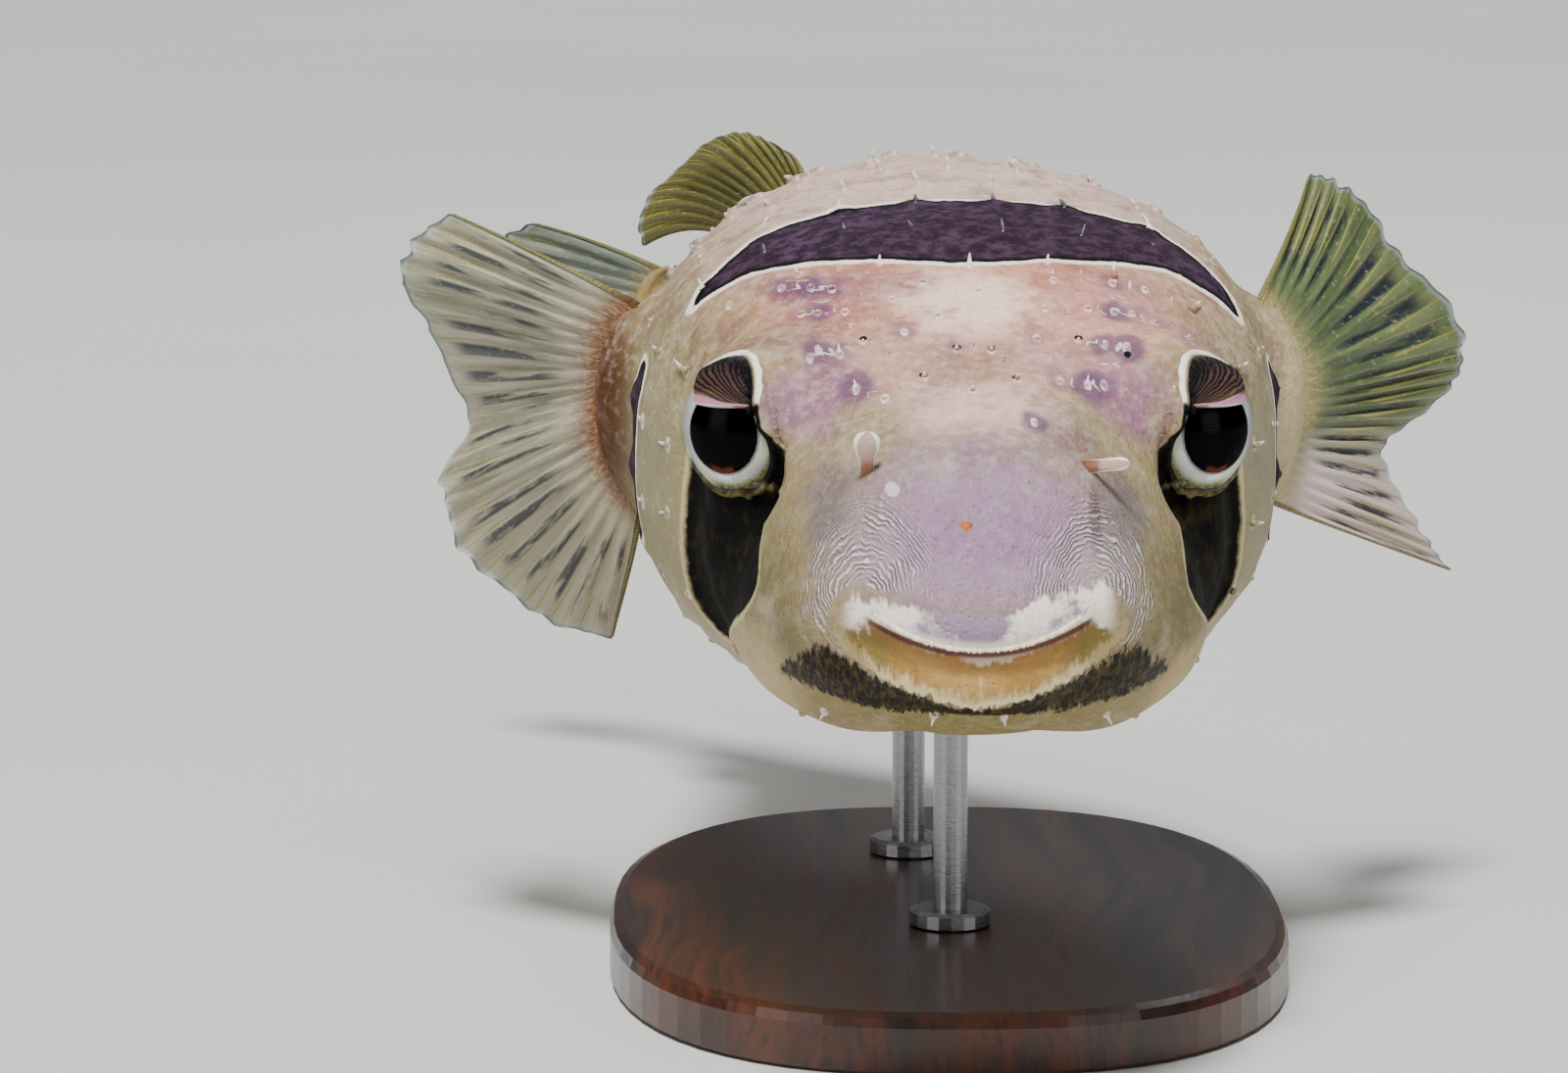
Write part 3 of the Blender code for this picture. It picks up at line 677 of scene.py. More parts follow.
def spineLay(roots, details):
    rng = np.random.default_rng(11)
    normals = fieldNormals(roots)
    y, z = roots[:, 1], roots[:, 2]
    given = details[:, 0]  # a length in mm, or 0
    own = given > 0
    chin = own & (z < 0)
    length = atStations("length", y) * rng.uniform(*spines["uneven"], len(roots))
    length *= 1 - spines["shorterBelow"] * ease(0.012, -0.012, z)
    long = given > spines["browLeast"]
    length = np.where(own, np.where(long, given * spines["browLength"], spines["nub"]), length)
    length = np.where(chin, spines["chinLength"], length)
    length = np.where(details[:, 2] != 0, spines["nub"], length)  # next to a pit there's only a nub
    width = np.where(own, spines["browWidth"], atStations("thickness", y))
    along = np.tile((0.0, 1, 0), (len(roots), 1)) + rng.normal(0, 0.07, roots.shape)
    along = unit(along - normals * np.sum(along * normals, axis=1, keepdims=True))
    lift = np.where(chin, spines["chinLift"], np.radians(atStations("lift", y)))
    way = along * np.cos(lift)[:, None] + normals * np.sin(lift)[:, None]
    return normals, along, way, length, width


def pitPlaces(roots, details):  # a pit lies just before or behind its spine
    along = spineLay(roots, details)[1]
    has = details[:, 2] != 0
    return roots[has] + along[has] * (np.sign(details[has, 2]) * 0.0013)[:, None]


def haloStrength(p, roots, details):
    strength = np.zeros(len(p))
    for root, (length, dark, _) in zip(roots, details):
        if dark > 0:
            reach = 0.003 + 0.0006 * length
            far = np.linalg.norm((p - root) * (1.25, 0.8, 0.8), axis=1)
            strength = np.maximum(strength, dark * ease(reach, reach * 0.25, far))
    return strength


# Skin material: washes of colour, the dark patches and their edges, wrinkles and pores

skinWashes = (  # centre and radii in metres, colour, strength; the same on both sides
    ((0, 0.150, 0.052), (0.060, 0.140, 0.026), (222, 202, 194), 0.95),  # back
    ((0, 0.125, -0.036), (0.065, 0.110, 0.044), (242, 237, 226), 1.0),  # belly
    ((0.045, 0.085, 0.014), (0.020, 0.040, 0.024), (170, 165, 140), 0.9),  # sides of the head
    ((0, 0.060, 0.044), (0.040, 0.036, 0.020), (205, 163, 146), 1.0),  # forehead
    ((0.018, 0.058, 0.041), (0.013, 0.014, 0.009), (186, 144, 134), 0.75),
    # painted highlight on the middle of the forehead
    ((0, 0.053, 0.041), (0.013, 0.016, 0.010), (252, 228, 216), 0.95),
    ((0.0125, 0.040, 0.033), (0.011, 0.013, 0.008), (206, 176, 168), 0.85),  # above the snout
    ((0, 0.012, 0.014), (0.0215, 0.024, 0.0165), (172, 151, 172), 0.95),  # snout
    # painted highlight on the bridge of the snout
    ((0, 0.027, 0.028), (0.013, 0.013, 0.008), (236, 206, 202), 0.9),
    ((0.0215, 0.037, 0.029), (0.008, 0.012, 0.009), (164, 132, 152), 0.8),  # beside the eyes
    ((0.0200, 0.017, 0.016), (0.0055, 0.012, 0.010), (136, 131, 134), 0.75),  # hollow beside the snout
    ((0.026, 0.026, 0.002), (0.011, 0.020, 0.014), (138, 132, 106), 1.0),  # cheeks
    ((0.029, 0.030, -0.007), (0.011, 0.018, 0.008), (200, 186, 150), 0.8),
    ((0, 0.016, -0.009), (0.028, 0.022, 0.008), (158, 149, 112), 1.0),  # chin
    ((0, 0.240, 0.016), (0.030, 0.040, 0.026), (186, 168, 122), 0.8),  # root of the tail
)

oneSided = (
    ((-0.0510, 0.1080, 0.0190), (0.0110, 0.0130, 0.0200), (102, 74, 52), 1.0),  # root of the right fin
    ((0.0510, 0.1080, 0.0170), (0.0110, 0.0130, 0.0200), (206, 194, 168), 0.9),  # and of the left one
    ((0.0200, 0.0520, 0.0370), (0.0150, 0.0160, 0.0100), (230, 190, 178), 0.5),  # the left brow, paler
    ((-0.0300, 0.0300, -0.0060), (0.0110, 0.0180, 0.0080), (208, 198, 172), 0.5),  # and the right cheek
    ((0.0157, 0.0110, 0.0158), (0.0012, 0.0070, 0.0066), (104, 84, 78), 0.7),  # painted shadow cast by the left nostril's flap below it
)


shades = {  # the colours of the layers
    "skin": (170, 160, 134),
    "lilac": (150, 126, 150),
    "rosy": (180, 134, 118),
    "cloud": (226, 212, 200),
    "blotch": (134, 96, 100),
    "paleGrain": (246, 238, 230),
    "darkGrain": (120, 84, 78),
    "pore": (70, 52, 48),
    "swirl": (208, 202, 214),
    # painted highlight on the wrinkle crests, with the pale lace, and painted shade in their furrows
    "ridgeHighlightAndLace": (246, 238, 244),
    "furrowShade": (104, 88, 104),
    "halo": (112, 86, 118),
    "sheath": (244, 234, 232),
    "rootDot": (118, 88, 98),
    "patch": ((62, 49, 63), (102, 84, 103)),
    "patchBrown": (60, 40, 48),
    "patchDeep": (6, 4, 8),
    "patchEdge": (250, 244, 234),
    "mask": ((6, 5, 3), (62, 54, 28)),
    "maskEdge": (226, 216, 186),
    "roll": ((96, 90, 62), (142, 136, 108)),
    "brushed": ((36, 29, 19), (98, 86, 56)),
    "cream": ((180, 152, 110), (198, 172, 132)),
    # painted shade on the lower lip towards the mouth's corners
    "lipCornerShade": (150, 137, 100),
    "creamPale": (240, 228, 198),
    "upperLip": ((250, 244, 236), (164, 146, 168)),
    # painted shadow in the mouth line, darkest in the slit
    "mouthShadow": (150, 118, 88),
    "slitShadow": (92, 38, 18),
    # painted shade, near black, in the pits beside some spines
    "pit": (2, 1, 2),
    "spot": (222, 216, 220),
    "speck": ((130, 84, 52), (190, 142, 106)),
    # painted shade in the gill opening
    "gill": (30, 18, 18),
    "membrane": ((22, 15, 17), (104, 82, 80)),
    "membraneDeep": (6, 5, 8),
    "hem": ((84, 72, 64), (120, 108, 94)),
    "margin": (190, 152, 166),
    "rim": (250, 244, 240),
    # painted shade in the crease round the eye
    "crease": (14, 12, 8),
}


def skinFields(t):  # the places and noises that decide where each layer of paint lies
    rest = t.read("rest", "Vector")
    x, y, z = t.split(rest)
    broad, middling, fine = [t.noise(rest, scale, 4, 0.6) for scale in (55, 190, 620)]
    wobble = (middling - 0.5) * 0.0022 + (fine - 0.5) * 0.001
    fanX, fanY, _ = t.split(t.read("fan", "Vector"))
    pleats = (fanY.math("ARCTAN2", fanX) * lid["folds"] + middling * 16 + fine * 5).math("SINE") * 0.5 + 0.5
    return SimpleNamespace(
        rest=rest, x=x, y=y, z=z, side=abs(x),
        broad=broad, middling=middling, fine=fine, grain=t.noise(rest, 2100, 2, 0.6),
        edged=t.read("edged") + wobble, plain=t.read("plain") + wobble * 0.8,
        slit=t.read("slit"), veil=t.read("veil"), fold=t.read("fold") * pleats,
    )


def layWashes(t, f, coat):
    shift = t.shiftBy(f.middling, 0.012)
    folded = t.vector("ADD", t.join(f.side, f.y, f.z), shift)
    whole = t.vector("ADD", f.rest, t.vector("SCALE", shift, 0.2))
    for place, washes in ((folded, skinWashes), (whole, oneSided)):
        for centre, radii, shade, strength in washes:
            coat.lay(shade, t.within(t.radiiFrom(place, centre, radii), 0.35, 1.15, strength, 0.0))


def layMottle(t, f, coat):
    lilac = t.within(f.broad, 0.5, 0.68) * t.within(f.z, 0.006, 0.018) * t.within(f.y, 0.11, 0.06)
    coat.lay(shades["lilac"], lilac * 0.4)
    rosy = t.within(f.middling, 0.52, 0.7) * t.within(f.z, 0.024, 0.036)
    coat.lay(shades["rosy"], rosy * 0.32)
    coat.lay(shades["cloud"], t.within(t.noise(f.rest, 90, 5, 0.65), 0.5, 0.72) * 0.3)
    above = t.within(f.z, 0.018, 0.03, 0.35, 1.0)  # the forehead is more mottled than the cheeks
    blotchy = t.within(t.noise(f.rest, 130, 4, 0.62), 0.5, 0.66) * above
    coat.lay(shades["blotch"], blotchy * 0.4)
    coat.lay(shades["paleGrain"], t.within(f.fine, 0.46, 0.7, 0.0, 0.22) * above)
    coat.lay(shades["darkGrain"], t.within(f.fine, 0.5, 0.34, 0.0, 0.2) * above)
    coat.lay(shades["pore"], t.within(f.grain, 0.35, 0.65, 0.08, 0.0))


def layWrinkles(t, f, coat):  # rings round the corners of the mouth, upright lines and a fine net
    corner = t.vector("SUBTRACT", t.join(f.side, f.y, f.z), (0.0152, 0.0068, 0.0066))
    far = t.length(corner, (1.0, 0.6, 0.8))
    whorls = ((far + f.broad * 0.006 + f.middling * 0.002 + f.fine * 0.0004) * 11500).math("SINE")
    offLips = t.within(t.read("lipWhite"), -0.0002, 0.001) * t.within(t.read("lipCream"), 0.0, 0.001)
    near = t.within(far, 0.0125, 0.006) * t.within(far, 0.0008, 0.0022) * offLips
    near = near * t.within(f.z, -0.004, 0.003) * t.within(f.side, 0.0035, 0.009)
    near = near * t.within(t.noise(f.rest, 300), 0.36, 0.6, 0.15, 1.0)
    lace = t.within(abs(t.noise(f.rest, (900, 700, 420), 2, 0.5) - 0.5), 0.045, 0.0) * offLips
    lace = lace * t.within(f.y, 0.06, 0.04) * t.within(f.side, 0.024, 0.015, 0.3, 1.0)
    lace = lace * (1 - near * 0.7)
    lines = (t.noise(f.rest, (1500, 900, 170), 3, 0.6) - 0.5) * t.within(f.y, 0.056, 0.034)
    lines = lines * t.within(f.z, 0.036, 0.024)
    f.ridges = whorls * near + lines * (1 - near) * 1.4 + lace * 0.12
    # painted highlight on the crests and painted shade in the furrows of the wrinkles, with the skin's pale
    # lace
    ridgeLightShadeAndLace = whorls * near * 1.2 + lines * 0.6 + lace * 0.35
    swirl = t.within(far, 0.01, 0.003, 0.0, 0.2) * offLips * t.within(f.z, -0.002, 0.004)
    coat.lay(shades["swirl"], swirl)
    coat.lay(shades["ridgeHighlightAndLace"], ridgeLightShadeAndLace, 0.15, 0.95, 0.6)
    coat.lay(shades["furrowShade"], ridgeLightShadeAndLace, -0.1, -0.95, 0.24)


def layRootMarks(t, f, coat):  # a lilac halo round some spines, and a pale sheath at the root of each
    halo = t.read("halo") * t.within(f.middling, 0.25, 0.6, 0.55, 1.15)
    coat.lay(shades["halo"], halo, 0.05, 0.8, 0.75)
    ring = t.length(t.read("fromRoot", "Vector"), (1.35, 0.62, 0.62)) + (f.fine - 0.5) * 0.0008
    partly = t.within(t.noise(f.rest, 480, 2), 0.4, 0.56, 0.25, 0.85)
    coat.lay(shades["sheath"], t.within(ring, 0.0009, 0.0006) * partly)
    brow = t.within(f.y, 0.07, 0.064) * t.within(f.z, 0.0, 0.01)
    coat.lay(shades["rootDot"], t.within(ring, 0.0004, 0.0001) * brow * 0.4)


def layPatches(t, f, coat):
    cloudy = t.within(t.noise(f.rest, 420, 5, 0.7), 0.4, 0.64)
    dusk = Coat(t, t.mix(cloudy, *shades["patch"]))
    dusk.lay(shades["patchBrown"], f.broad, 0.42, 0.62, 0.35)
    dusk.lay(shades["patchDeep"], f.edged, -0.0018, -0.0006)
    coat.lay(shades["patchEdge"], f.edged, 0.0017, 0.0009)
    coat.lay(dusk.colour, f.edged, 0.0002, -0.0001)
    smoky = t.mix(t.within(t.noise(f.rest, 300, 4, 0.65), 0.48, 0.66), *shades["mask"])
    coat.lay(shades["maskEdge"], f.plain, 0.0014, 0.0006, 0.6)
    coat.lay(smoky, f.plain, 0.0006, -0.0006)
    olive = t.mix(t.within(f.fine, 0.4, 0.62), *shades["roll"])
    coat.lay(olive, t.read("roll"))  # the roll of skin below the eye
    brush = t.noise(f.rest, (1500, 500, 420), 4, 0.7)
    frayed = t.read("frayed") + (brush - 0.5) * 0.006 + (f.middling - 0.5) * 0.003
    bristled = t.mix(t.within(brush, 0.44, 0.62), *shades["brushed"])
    coat.lay(bristled, frayed, 0.0004, -0.001)


def layLips(t, f, coat):  # cream below, frilled white above, painted shadow along the mouth line
    frill = (t.noise(f.rest, (1100, 500, 300), 3, 0.6) - 0.5) * 0.0024
    toEdge = t.read("lipCream") + frill * 1.7
    cream = Coat(t, t.mix(t.within(f.middling, 0.35, 0.65), *shades["cream"]))
    # painted shade on the lower lip towards the mouth's corners
    cream.lay(shades["lipCornerShade"], f.side, 0.0095, 0.014)
    pale = t.within(toEdge, -0.0022, -0.0004) * t.within(f.side, 0.0165, 0.012, 0.35, 1.0)
    cream.lay(shades["creamPale"], pale)
    coat.lay(cream.colour, toEdge, 0.0004, -0.0002)
    thinner = t.within(f.x, -0.004, -0.009, 0.0, 0.0014) * t.within(f.z, 0.003, 0.006)
    white = t.read("lipWhite") + thinner + frill * 1.6 + (f.middling - 0.5) * 0.0044
    white = t.within(white, 0.0007, -0.0005) * t.within(f.side, 0.019, 0.016)
    middle = t.within(abs(f.x + 0.0025), 0.0085, 0.0035) * 0.26
    violet = t.within(t.noise(f.rest, 170, 5, 0.7) + middle, 0.52, 0.7) * t.within(f.slit, 0.001, 0.0024)
    coat.lay(t.mix(violet * 0.9, *shades["upperLip"]), white)
    front = t.within(f.y, 0.016, 0.01)
    # painted shadow of the upper lip on the lower lip, darkest in the slit
    underLipShadow = t.within(f.slit + (f.middling - 0.5) * 0.0008, -0.003, -0.0004) * front
    underLipShadow = underLipShadow * t.within(f.side, 0.017, 0.012) * t.within(f.slit, 0.0006, 0.0001)
    coat.lay(shades["mouthShadow"], underLipShadow * 0.7)
    inSlitShadow = t.within(abs(f.slit), 0.0007, 0.0002) * front * t.within(f.side, 0.0155, 0.0145)
    coat.lay(shades["slitShadow"], inSlitShadow * 0.85)


def laySmallMarks(t, f, coat):  # painted black shade in the pits and dark shade in the gill opening, a spot and a speck on the snout
    pit = t.length(t.read("fromPit", "Vector"), (1.1, 0.9, 0.9)) + (f.fine - 0.5) * 0.0006
    coat.lay(shades["pit"], pit, 0.00072, 0.00055)
    spot = t.radiiFrom(f.rest, (-0.0115, 0.0111, 0.0203), (0.001, 0.004, 0.0009)) + (f.fine - 0.5) * 0.6
    coat.lay(shades["spot"], t.within(spot, 1.1, 0.8) * 0.8)
    speck = t.radiiFrom(f.rest, (-0.0019, 0.0055, 0.0162), (0.0009, 0.003, 0.0007)) + (f.fine - 0.5) * 0.7
    orange = t.mix(t.within(f.fine, 0.42, 0.56), *shades["speck"])
    coat.lay(orange, speck, 1.1, 0.8)
    # painted shade in the gill opening
    coat.lay(shades["gill"], t.read("gillCleft"), 0.3, 0.8)


def layLids(t, f, coat):
    membrane = Coat(t, t.mix(t.within(f.fold, 0.0, 0.8), *shades["membrane"]))
    membrane.lay(shades["membraneDeep"], f.veil + (f.fine - 0.5) * 0.3, 0.62, 0.25)
    hem = t.mix(t.within(f.fold, 0.1, 0.9), *shades["hem"])
    membrane.lay(hem, f.veil, 0.72, 0.88)
    coat.lay(membrane.colour, f.veil, 0.02, 0.1)
    coat.lay(shades["margin"], t.read("margin"), 0.4, 0.6)
    coat.lay(shades["rim"], t.read("rim"), 0.35, 0.6)
    # painted shade in the crease between the ball and the skin, and at the inner corner
    coat.lay(shades["crease"], t.read("shade"), 0.1, 0.8)


def skinColour(t, f):
    coat = Coat(t, shades["skin"])
    layers = (layWashes, layMottle, layWrinkles, layRootMarks, layPatches, layLips, laySmallMarks, layLids)
    for lay in layers:
        lay(t, f, coat)
    return coat.colour


def skinMaterial():
    material, t = startMaterial("fish_skin")
    f = skinFields(t)
    colour = skinColour(t, f)
    pores = t.add("ShaderNodeTexVoronoi", {"Vector": f.rest, "Scale": 900})
    height = f.ridges * 0.3 + f.fine * 0.3 + f.grain * 0.1 + t.within(pores, 0.0, 0.35, 0.0, 0.22)
    dark = t.within(t.read("edged"), 0.0002, -0.0002).math("MAXIMUM", t.within(f.plain, 0.0006, -0.0006))
    height = height * (1 - dark * 0.6) * (1 - t.within(f.veil, 0.02, 0.1) * 0.8) + f.fold * 0.35
    normal = t.bump(f.broad + f.middling * 0.5, 0.0016, 0.5, t.bump(height, 0.0006))
    roughness = t.within(f.fine, 0.3, 0.7, 0.44, 0.6) * (1 - dark) + dark * 0.9
    values = {"Base Color": colour, "Roughness": roughness, "Normal": normal}
    setShader(t, values | {"Specular IOR Level": 0.16})
    return material


nowhere = np.full((1, 3), 9.0)  # for pieces that have no roots or pits near them


def nearestOffset(points, roots, longest=0.02):
    offset = np.full(points.shape, longest)
    nearest = np.full(len(points), 1e9)
    for root in roots:
        gap = points - root
        far = np.einsum("ij,ij->i", gap, gap)
        nearer = far < nearest
        nearest[nearer] = far[nearer]
        offset[nearer] = gap[nearer]
    return offset


def slitHeight(x):
    share = np.clip(np.abs(x) / mouth["halfWidth"], 0, 1.2)
    return mouth["line"] + (mouth["cornerRise"] + mouth["lineRise"]) * share**2


def keepSkinValues(piece, p, normals, roots, pitSpots, halo):
    distances = {name: markingDistance(name, p, normals) for name in markings}
    keepValues(
        piece,
        rest=p,
        **distances,
        slit=p[:, 2] - slitHeight(p[:, 0]),
        fromRoot=nearestOffset(p, roots),
        fromPit=nearestOffset(p, pitSpots),
        halo=halo,
    )


relief = {  # how far the skin is pressed in or swells, in metres
    "underEye": 0.0009,
    "orbit": 0.0008,
    "sheath": 0.0006,
    "pit": 0.0007,
    "cleft": 0.0016,
    "ripple": 0.0003,
    "ripples": 95,  # to the metre
    "broad": (  # centre, radius and height of soft hollows and swellings on both sides
        ((0.0185, 0.0240, 0.0140), 0.0075, -0.0014),
        ((0.0200, 0.0400, 0.0300), 0.0080, 0.0010),
        ((0.0105, 0.0180, 0.0200), 0.0050, 0.0007),
        ((0.0170, 0.0130, 0.0020), 0.0050, 0.0008),
        ((0.0000, 0.0330, 0.0290), 0.0060, -0.0006),
    ),
    "gill": {"station": 0.0995, "bow": 0.0028, "width": 0.0011, "low": 0.004, "tall": 0.030},
}


def gillCleft(p):  # 1 along the gill opening, in front of each pectoral fin
    gill = relief["gill"]
    share = np.clip((p[:, 2] - gill["low"]) / gill["tall"], 0, 1)
    line = gill["station"] - gill["bow"] * np.sin(share * math.pi)
    ends = ease(0.002, 0.006, p[:, 2]) * ease(0.036, 0.031, p[:, 2])
    return np.exp(-(((p[:, 1] - line) / gill["width"]) ** 2)) * ends * (np.abs(p[:, 0]) > 0.03)


def pressedUnderEye(p, normals):
    return relief["underEye"] * ease(0.0006, -0.0016, markingDistance("plain", p, normals))


def makeSkin(material, roots, details):
    p, faces = castSkin()
    normals = fieldNormals(p)
    y, z = p[:, 1], p[:, 2]
    pitSpots = pitPlaces(roots, details)
    cleft = gillCleft(p)
    ripple = np.array([noise.noise(Vector(q) * relief["ripples"]) for q in p])
    folded = np.abs(p) * (1, 0, 0) + p * (0, 1, 1)
    rootFar, pitFar = [np.linalg.norm(nearestOffset(p, spots), axis=1) for spots in (roots, pitSpots)]
    eyeFar = np.linalg.norm(folded - eye["centre"], axis=1)
    push = -pressedUnderEye(p, normals)
    push += relief["sheath"] * ease(0.0034, 0.0004, rootFar) * ease(0.06, 0.09, y)
    push -= relief["pit"] * ease(0.0016, 0.0003, pitFar)
    push -= relief["cleft"] * cleft
    push += relief["ripple"] * ripple * ease(0.004, 0.012, np.abs(z - slitHeight(p[:, 0])) + y * 0.5)
    push -= relief["orbit"] * ease(0.0132, 0.0114, eyeFar) * ease(0.027, 0.02, z)
    for centre, radius, height in relief["broad"]:
        push += height * np.exp(-((np.linalg.norm(folded - centre, axis=1) / radius) ** 2))
    piece = makePiece("skin", posed(p + normals * push[:, None]), faces, material)
    keepSkinValues(piece, p, normals, roots, pitSpots, haloStrength(p, roots, details))
    keepValues(piece, gillCleft=cleft)
    return piece


# Lids: the pale rim of each orbit, and the folded dark membrane that hangs over the top of the eye

lid = {
    "columns": 360,
    "rim": (  # degrees round the eye (0 outwards, 90 up) and off its axis, how pale, how proud, how wide
        (0, 80, 0.0, 0.0001, 0.4), (30, 76, 0.1, 0.0002, 0.4), (50, 69, 0.6, 0.0003, 0.5),
        (66, 66, 0.9, 0.0003, 0.5), (80, 68, 1.0, 0.0004, 0.6), (97, 69, 1.0, 0.0005, 0.9),
        (111, 62, 1.0, 0.0005, 1.4), (122, 55.5, 1.0, 0.0005, 1.7), (131, 50.5, 1.0, 0.0005, 1.5),
        (139, 46, 0.9, 0.0004, 1.3), (148, 43, 0.4, 0.0003, 1.0), (158, 42, 0.1, 0.0002, 0.6),
        (172, 41.5, 0.0, 0.0002, 0.7), (186, 47.5, 0.0, 0.0001, 0.9), (204, 53, 0.0, 0.0, 1.0),
        (231, 57, 0.0, 0.0, 1.0), (258, 61, 0.0, 0.0, 0.9), (285, 69, 0.0, 0.0, 0.8),
        (320, 77, 0.0, 0.0, 0.5),
    ),
    "spans": {  # where round the eye each comes in, is full, is still full and has gone
        "veiled": (49, 57, 150, 160),  # the membrane that hangs over the eye
        "held": (40, 55, 186, 206),  # the fold of skin outside it
        "low": (200, 225, 325, 345),  # the rim kept to where the skin meets the ball
        "gap": (141, 151, 300, 335),  # where the crease below and inside is painted with shade
        "below": (162, 182, 320, 350),  # where the skin is laid against the ball
    },
    "opening": 0.0042,  # the membrane hangs down to this height over the eye's middle
    "search": {"longest": 0.024, "outermost": False, "shortest": 0.0085},  # for the skin, from the middle
    "outerRows": (  # degrees outside the rim, how far sunk in metres or raised as a share, how pale
        (16, -0.0012, 0), (11, -0.0004, 0), (6.5, 0.0, 0), (3.6, 0.35, 0.2), (2.4, 0.85, 1), (1.0, 1.0, 1),
        (-0.2, 0.7, 1),
    ),
    "veilRows": 26,
    "hemRows": ((1.6, 0.00015), (2.6, -0.0004), (2.2, -0.0012)),  # degrees inside the hem, and how high
    "folds": 92,
    "creases": 34,
    "foldDepth": 0.00018,
    "canthus": (-0.008, 0.0034),  # where the folds run together, outwards and up from the axis
    "margin": ((50, 0.0008), (62, 0.0009), (90, 0.0007), (112, 0.0003), (130, 0.0001), (160, 0.0001)),
}

lidPaint = ("rim", "veil", "fold", "margin", "shade", "roll")  # what each row is painted with


def corneaFar(theta):  # how far the cornea stands from the eye's middle, at an angle off its axis
    bulge = (eye["cornea"] - eye["ball"]) * np.maximum(np.cos(theta), 0) ** eye["bulgeFall"]
    return eye["ball"] + eye["corneaGap"] + bulge


def eyeRays(side, phi, theta):  # out of the eye's middle, at angles round its axis and off it
    look, outward, up = eyeAxes(side)
    flat = np.cos(phi)[:, None] * outward + np.sin(phi)[:, None] * up
    return np.cos(theta)[:, None] * look + np.sin(theta)[:, None] * flat


def skinBeside(phi, theta):  # where such rays from the left eye leave the flesh
    return castOut(np.tile(eyeCentre(), (len(phi), 1)), eyeRays(1, phi, theta), **lid["search"])


def skinCrossing(phi):  # the angle off the axis at which the skin comes clear of the ball
    sweep = np.radians(np.arange(38.0, 84.0, 2.0))
    clear = []
    for theta in sweep:
        found = skinBeside(phi, np.full(len(phi), theta))
        clear.append(np.linalg.norm(found - eyeCentre(), axis=1) - corneaFar(theta) > 0.0001)
    crossing = np.where(np.any(clear, axis=0), sweep[np.argmax(clear, axis=0)], sweep[-1])
    reach = 12
    wrapped = np.concatenate([crossing[-reach:], crossing, crossing[:reach]])
    return np.convolve(wrapped, np.full(2 * reach + 1, 1 / (2 * reach + 1)), "valid")


def lidOutline():  # the curves round the eye that its rows follow
    keys, *columns = np.array(lid["rim"]).T
    keys = np.concatenate([keys[-2:] - 360, keys, keys[:2] + 360])
    around = np.linspace(0, 360, lid["columns"], endpoint=False)
    rim, *others = [smoothCurve(keys, np.concatenate([c[-2:], c, c[:2]]), around) for c in columns]
    pale, proud, wide = [np.clip(values, 0, None) for values in others]
    v = SimpleNamespace(around=around, phi=np.radians(around), pale=pale, proud=proud)
    v.wide = wide * (1 + 0.22 * np.sin(around * 0.31) * np.sin(around * 0.117 + 2))
    for name, (starts, full, still, gone) in lid["spans"].items():
        setattr(v, name, ease(starts, full, around) * ease(gone, still, around))
    v.inner = ease(240, 215, around)
    v.rolled = (1 - v.inner) * ease(345, 315, around)
    v.spread = 0.5 + 11 * ease(168, 212, around)  # how wide the crease's painted shade is, in degrees
    v.crossing = skinCrossing(v.phi)
    rim = np.radians(rim)
    v.rim = rim + (np.minimum(rim, v.crossing) - rim) * v.low
    inside = v.rim - math.radians(5)
    hang = lid["opening"] / (corneaFar(0.4) * np.maximum(np.sin(v.phi), 1e-3))
    hang = np.minimum(np.arcsin(np.clip(hang, 0, 1)), inside)
    v.edge = np.where(np.sin(v.phi) > 0, hang, inside)
    return v


def lidRow(v, theta, radius, **painted):
    radius = np.broadcast_to(radius, theta.shape)
    fan = np.sin(theta) * radius * (np.cos(v.phi), np.sin(v.phi)) - np.array(lid["canthus"])[:, None]
    values = [np.broadcast_to(np.asarray(painted.get(name, 0), float), theta.shape) for name in lidPaint]
    return theta, radius, np.stack([*values, *fan], -1)


def outerRows(v):  # from under the skin, over the pale rim and down on its inside
    for extra, sink, share in lid["outerRows"]:
        theta = v.rim + np.radians(extra * (v.wide if share else 1.0))
        found = skinBeside(v.phi, theta)
        radius = np.clip(np.linalg.norm(found - eyeCentre(), axis=1), 0.009, 0.0165)
        radius = radius - pressedUnderEye(found, fieldNormals(found))
        radius = radius + (sink if sink <= 0 else v.proud * sink)
        if share:
            radius = np.maximum(radius, corneaFar(theta) + 0.0003)
        else:
            radius = np.maximum(radius, corneaFar(theta) - 0.0012 * (1 - v.held) * (1 - v.below))
            radius = radius - 0.003 * v.below * ease(v.crossing - 0.035, v.crossing + 0.05, theta)
        shade = v.gap * v.inner * ease(v.spread + 3, v.spread, extra)
        yield lidRow(v, theta, radius, rim=v.pale * share, shade=shade, roll=v.rolled * (share == 1))
    theta = v.rim - math.radians(1.2)
    radius = np.minimum(radius, corneaFar(theta) + 0.001) - 0.0004 * v.held
    radius = radius * (1 - v.below) + (eye["ball"] + eye["corneaGap"]) * v.below
    painted = {"rim": v.pale * 0.3, "veil": 0.03 * (1 - v.rolled), "roll": 0.7 * v.rolled}
    yield lidRow(v, theta, radius, shade=v.gap * (0.3 + 0.7 * v.inner), **painted)


